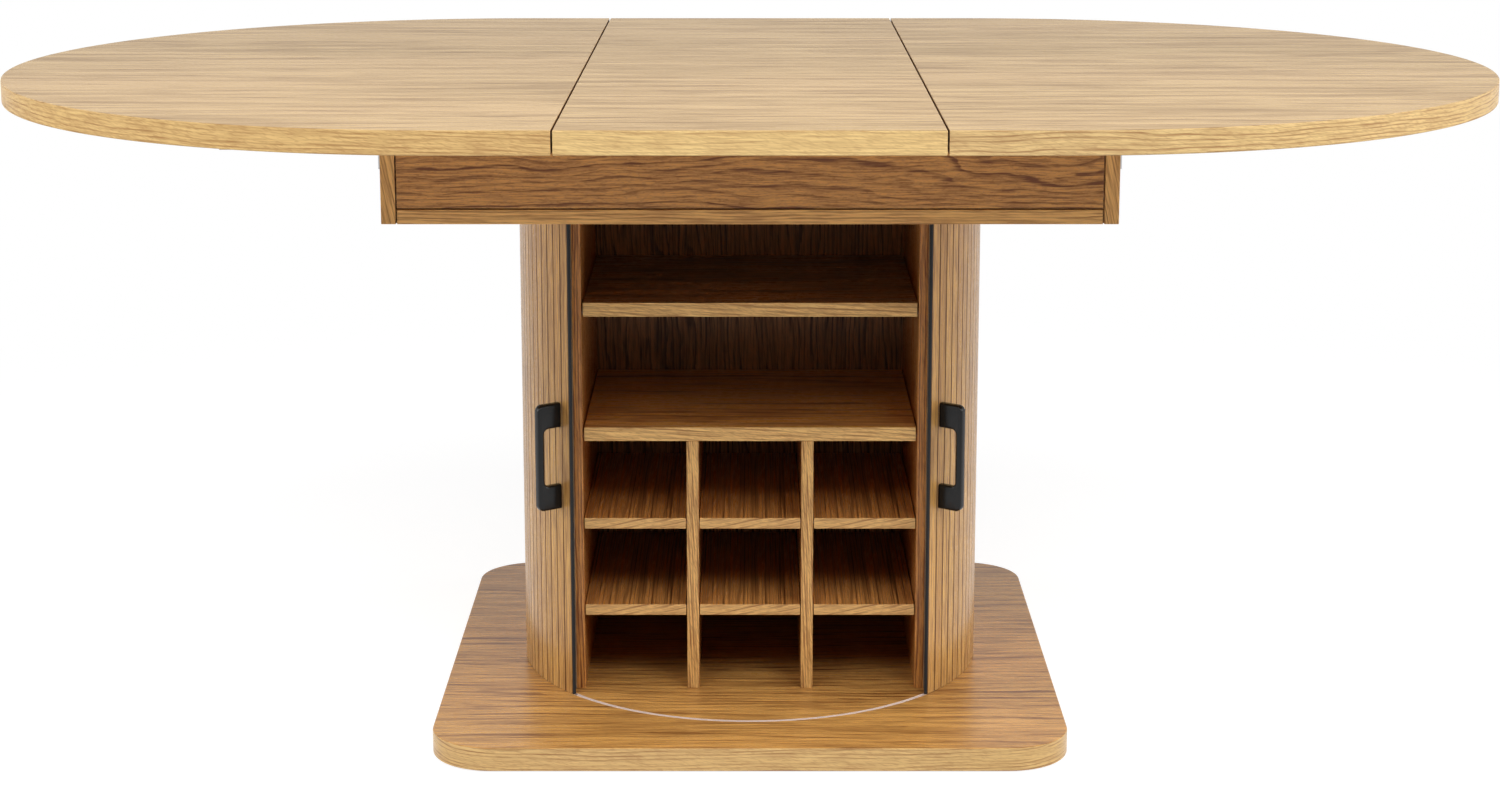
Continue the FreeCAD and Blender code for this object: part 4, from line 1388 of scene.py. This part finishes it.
@dataclass
class HiddenParts:
    """Runner bars, blocks, dowels and steel fittings.

    Attributes:
        beech: What is made of beech.
        steel: What is made of zinc-plated steel.
    """

    beech: tuple[str, ...] = ("left_runner_front", "left_runner_back", "right_runner_front",
                              "right_runner_back", "left_stop_pins", "right_stop_pins",
                              "box_cross_rail", "box_corner_blocks", "box_dowels")
    steel: tuple[str, ...] = ("left_runner_screws", "right_runner_screws", "left_keeper_plates",
                              "right_keeper_plates", "keeper_screws", "hold_down_straps",
                              "strap_screws", "box_screws", "base_screws", "carcass_screws",
                              "shelf_pins", "left_handle_screws", "right_handle_screws")

    def dress(self) -> None:
        """Finishes the beech and the zinc-plated steel."""
        beech = OakFinish("beech", BEECH_VENEER).material()
        for node in self.beech:
            dress(node, beech)
        for node in self.steel:
            dress(node, ZINC_STEEL.material())


# ---- Studio -----------------------------------------------------------------------------------------
@dataclass(frozen=True)
class SoftBox:
    """A large square lamp that hangs around the table and faces its middle.

    Attributes:
        name: The lamp's name.
        azimuth: In degrees, 0 in front of the table and 90 at its right.
        elevation: In degrees above the aim.
        size: Of its side in metres.
        power: In watts.
        distance: From the aim in metres.
        aim: What it faces.
    """

    name: str
    azimuth: float
    elevation: float
    size: float
    power: float
    distance: float = 4.2
    aim: Triple = (0.0, 0.0, 0.45)

    def light(self) -> None:
        """Hangs the lamp and turns it to its aim."""
        around, up = math.radians(self.azimuth), math.radians(self.elevation)
        level = math.cos(up)
        out = Vector((math.sin(around) * level, -math.cos(around) * level, math.sin(up)))
        data = bpy.data.lights.new(self.name, "AREA")
        data.shape = "SQUARE"
        data.size = self.size
        data.energy = self.power
        lamp = bpy.data.objects.new(self.name, data)
        bpy.context.scene.collection.objects.link(lamp)
        lamp.location = Vector(self.aim) + out * self.distance
        lamp.rotation_euler = (-out).to_track_quat("-Z", "Y").to_euler()


@dataclass
class Studio:
    """Pale floor, white surroundings, soft lamps and the camera.

    Attributes:
        floor_reach: From the middle of the floor to its edges in metres.
        floor_bounce: Tone with which the floor lights the object.
        floor_tone: Tone with which it is seen under the object, where it carries the shadow.
        near_glow: The floor's own glow there, where 1 is white.
        fade_start: Distance from the middle at which the floor begins to fade to white.
        fade_end: Distance at which it is white.
        ambient: How strongly the white surroundings light the object.
        frame_width_px: Width of the picture in pixels.
        focal_px: Focal length in pixels of that picture.
        sensor_width: Width of the camera's sensor in millimetres.
        eye: Where the camera stands.
        pitch_down: How far it looks down.
        lens_shift: Upward shift of the frame, in parts of its width.
        lamps: The soft lamps.
    """

    floor_reach: float = 20.0
    floor_bounce: float = 0.8
    floor_tone: float = 0.3
    near_glow: float = 0.85
    fade_start: float = 0.9
    fade_end: float = 2.4
    ambient: float = 0.03
    frame_width_px: float = 1500.0
    focal_px: float = 2762.0
    sensor_width: float = 36.0
    eye: Triple = (0.0, -3.37, 1.147)
    pitch_down: float = math.radians(11.515)
    lens_shift: float = -0.06
    lamps: list[SoftBox] = field(default_factory=lambda: [
        SoftBox("overhead softbox", 0.0, 62.0, 1.6, 39.0),
        SoftBox("left key softbox", -28.0, 38.0, 1.4, 33.0),
        SoftBox("right key softbox", 28.0, 38.0, 1.4, 50.0),
        SoftBox("left wing softbox", -55.0, 38.0, 1.4, 48.0),
        SoftBox("right wing softbox", 55.0, 38.0, 1.4, 53.0),
        SoftBox("left side softbox", -85.0, 10.0, 1.4, 48.0),
        SoftBox("right side softbox", 85.0, 10.0, 1.4, 54.0),
        SoftBox("left back softbox", -150.0, 40.0, 1.6, 8.0),
        SoftBox("right back softbox", 150.0, 40.0, 1.6, 16.0),
    ])

    def build(self) -> None:
        """Builds the world, the floor, the lamps and the camera."""
        self.world()
        self.floor()
        for lamp in self.lamps:
            lamp.light()
        self.camera()

    @staticmethod
    def seen_directly(w: Wiring) -> Socket:
        """Tells the rays that show a surface from those that light the object.

        Args:
            w: The wiring of the world or the floor.

        Returns:
            1 for rays from the camera and for mirrored or refracted ones.
        """
        path = w.node("LightPath").outputs
        seen = w.math("MAXIMUM", path["Is Camera Ray"], path["Is Glossy Ray"])
        return w.math("MAXIMUM", seen, path["Is Transmission Ray"])

    def world(self) -> None:
        """Makes white surroundings that light the object at the ambient level."""
        world = bpy.data.worlds.new("white studio")
        bpy.context.scene.world = world
        world.use_nodes = True
        w = Wiring(world.node_tree)
        background = next(n for n in world.node_tree.nodes if n.type == "BACKGROUND")
        w.feed(background.inputs["Color"], WHITE)
        level = w.math("MULTIPLY_ADD", self.seen_directly(w), 1.0 - self.ambient, self.ambient)
        w.feed(background.inputs["Strength"], level)

    def floor(self) -> None:
        """Lays a pale floor that turns pure white away from the object and keeps its shadow."""
        bpy.ops.mesh.primitive_plane_add(size=2 * self.floor_reach)
        floor = bpy.context.object
        floor.name = "floor"
        made, w, shader = new_material("pale floor")
        shader.inputs["Roughness"].default_value = 1.0
        shader.inputs["Specular IOR Level"].default_value = 0.0
        distance = w.length(w.node("TexCoord").outputs["Object"])
        away = w.ramp(distance, self.fade_start, self.fade_end)
        seen = self.seen_directly(w)
        level = w.math("MULTIPLY_ADD", away, 1.0 - self.near_glow, self.near_glow)
        tone = w.math("MULTIPLY_ADD", seen, self.floor_tone - self.floor_bounce, self.floor_bounce)
        shown = w.math("SUBTRACT", 1.0, w.math("MULTIPLY", seen, away))
        w.feed(shader.inputs["Base Color"], w.mix(w.math("MULTIPLY", tone, shown), BLACK, WHITE))
        w.feed(shader.inputs["Emission Color"], WHITE)
        w.feed(shader.inputs["Emission Strength"], w.math("MULTIPLY", seen, level))
        floor.data.materials.append(made)

    def camera(self) -> None:
        """Sets up the camera, pitched down, with a slight shift."""
        data = bpy.data.cameras.new("camera")
        data.sensor_width = self.sensor_width
        data.lens = self.focal_px / self.frame_width_px * data.sensor_width
        data.shift_y = self.lens_shift
        camera = bpy.data.objects.new("camera", data)
        bpy.context.scene.collection.objects.link(camera)
        camera.location = self.eye
        camera.rotation_euler = (math.pi / 2 - self.pitch_down, 0.0, 0.0)
        bpy.context.scene.camera = camera


def main() -> None:
    """Builds and dresses the table, sub-assembly by sub-assembly."""
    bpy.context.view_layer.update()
    bpy.ops.object.select_all(action="DESELECT")
    doors = [TambourDoor(side) for side in SIDES]
    for assembly in (TableTop(), RunnerBox(), Cabinet(), Base(), *doors, HiddenParts()):
        assembly.dress()
    DoorFittings().build()
    Studio().build()
    bpy.context.scene.view_settings.view_transform = "Standard"


if __name__ == "__main__":
    main()
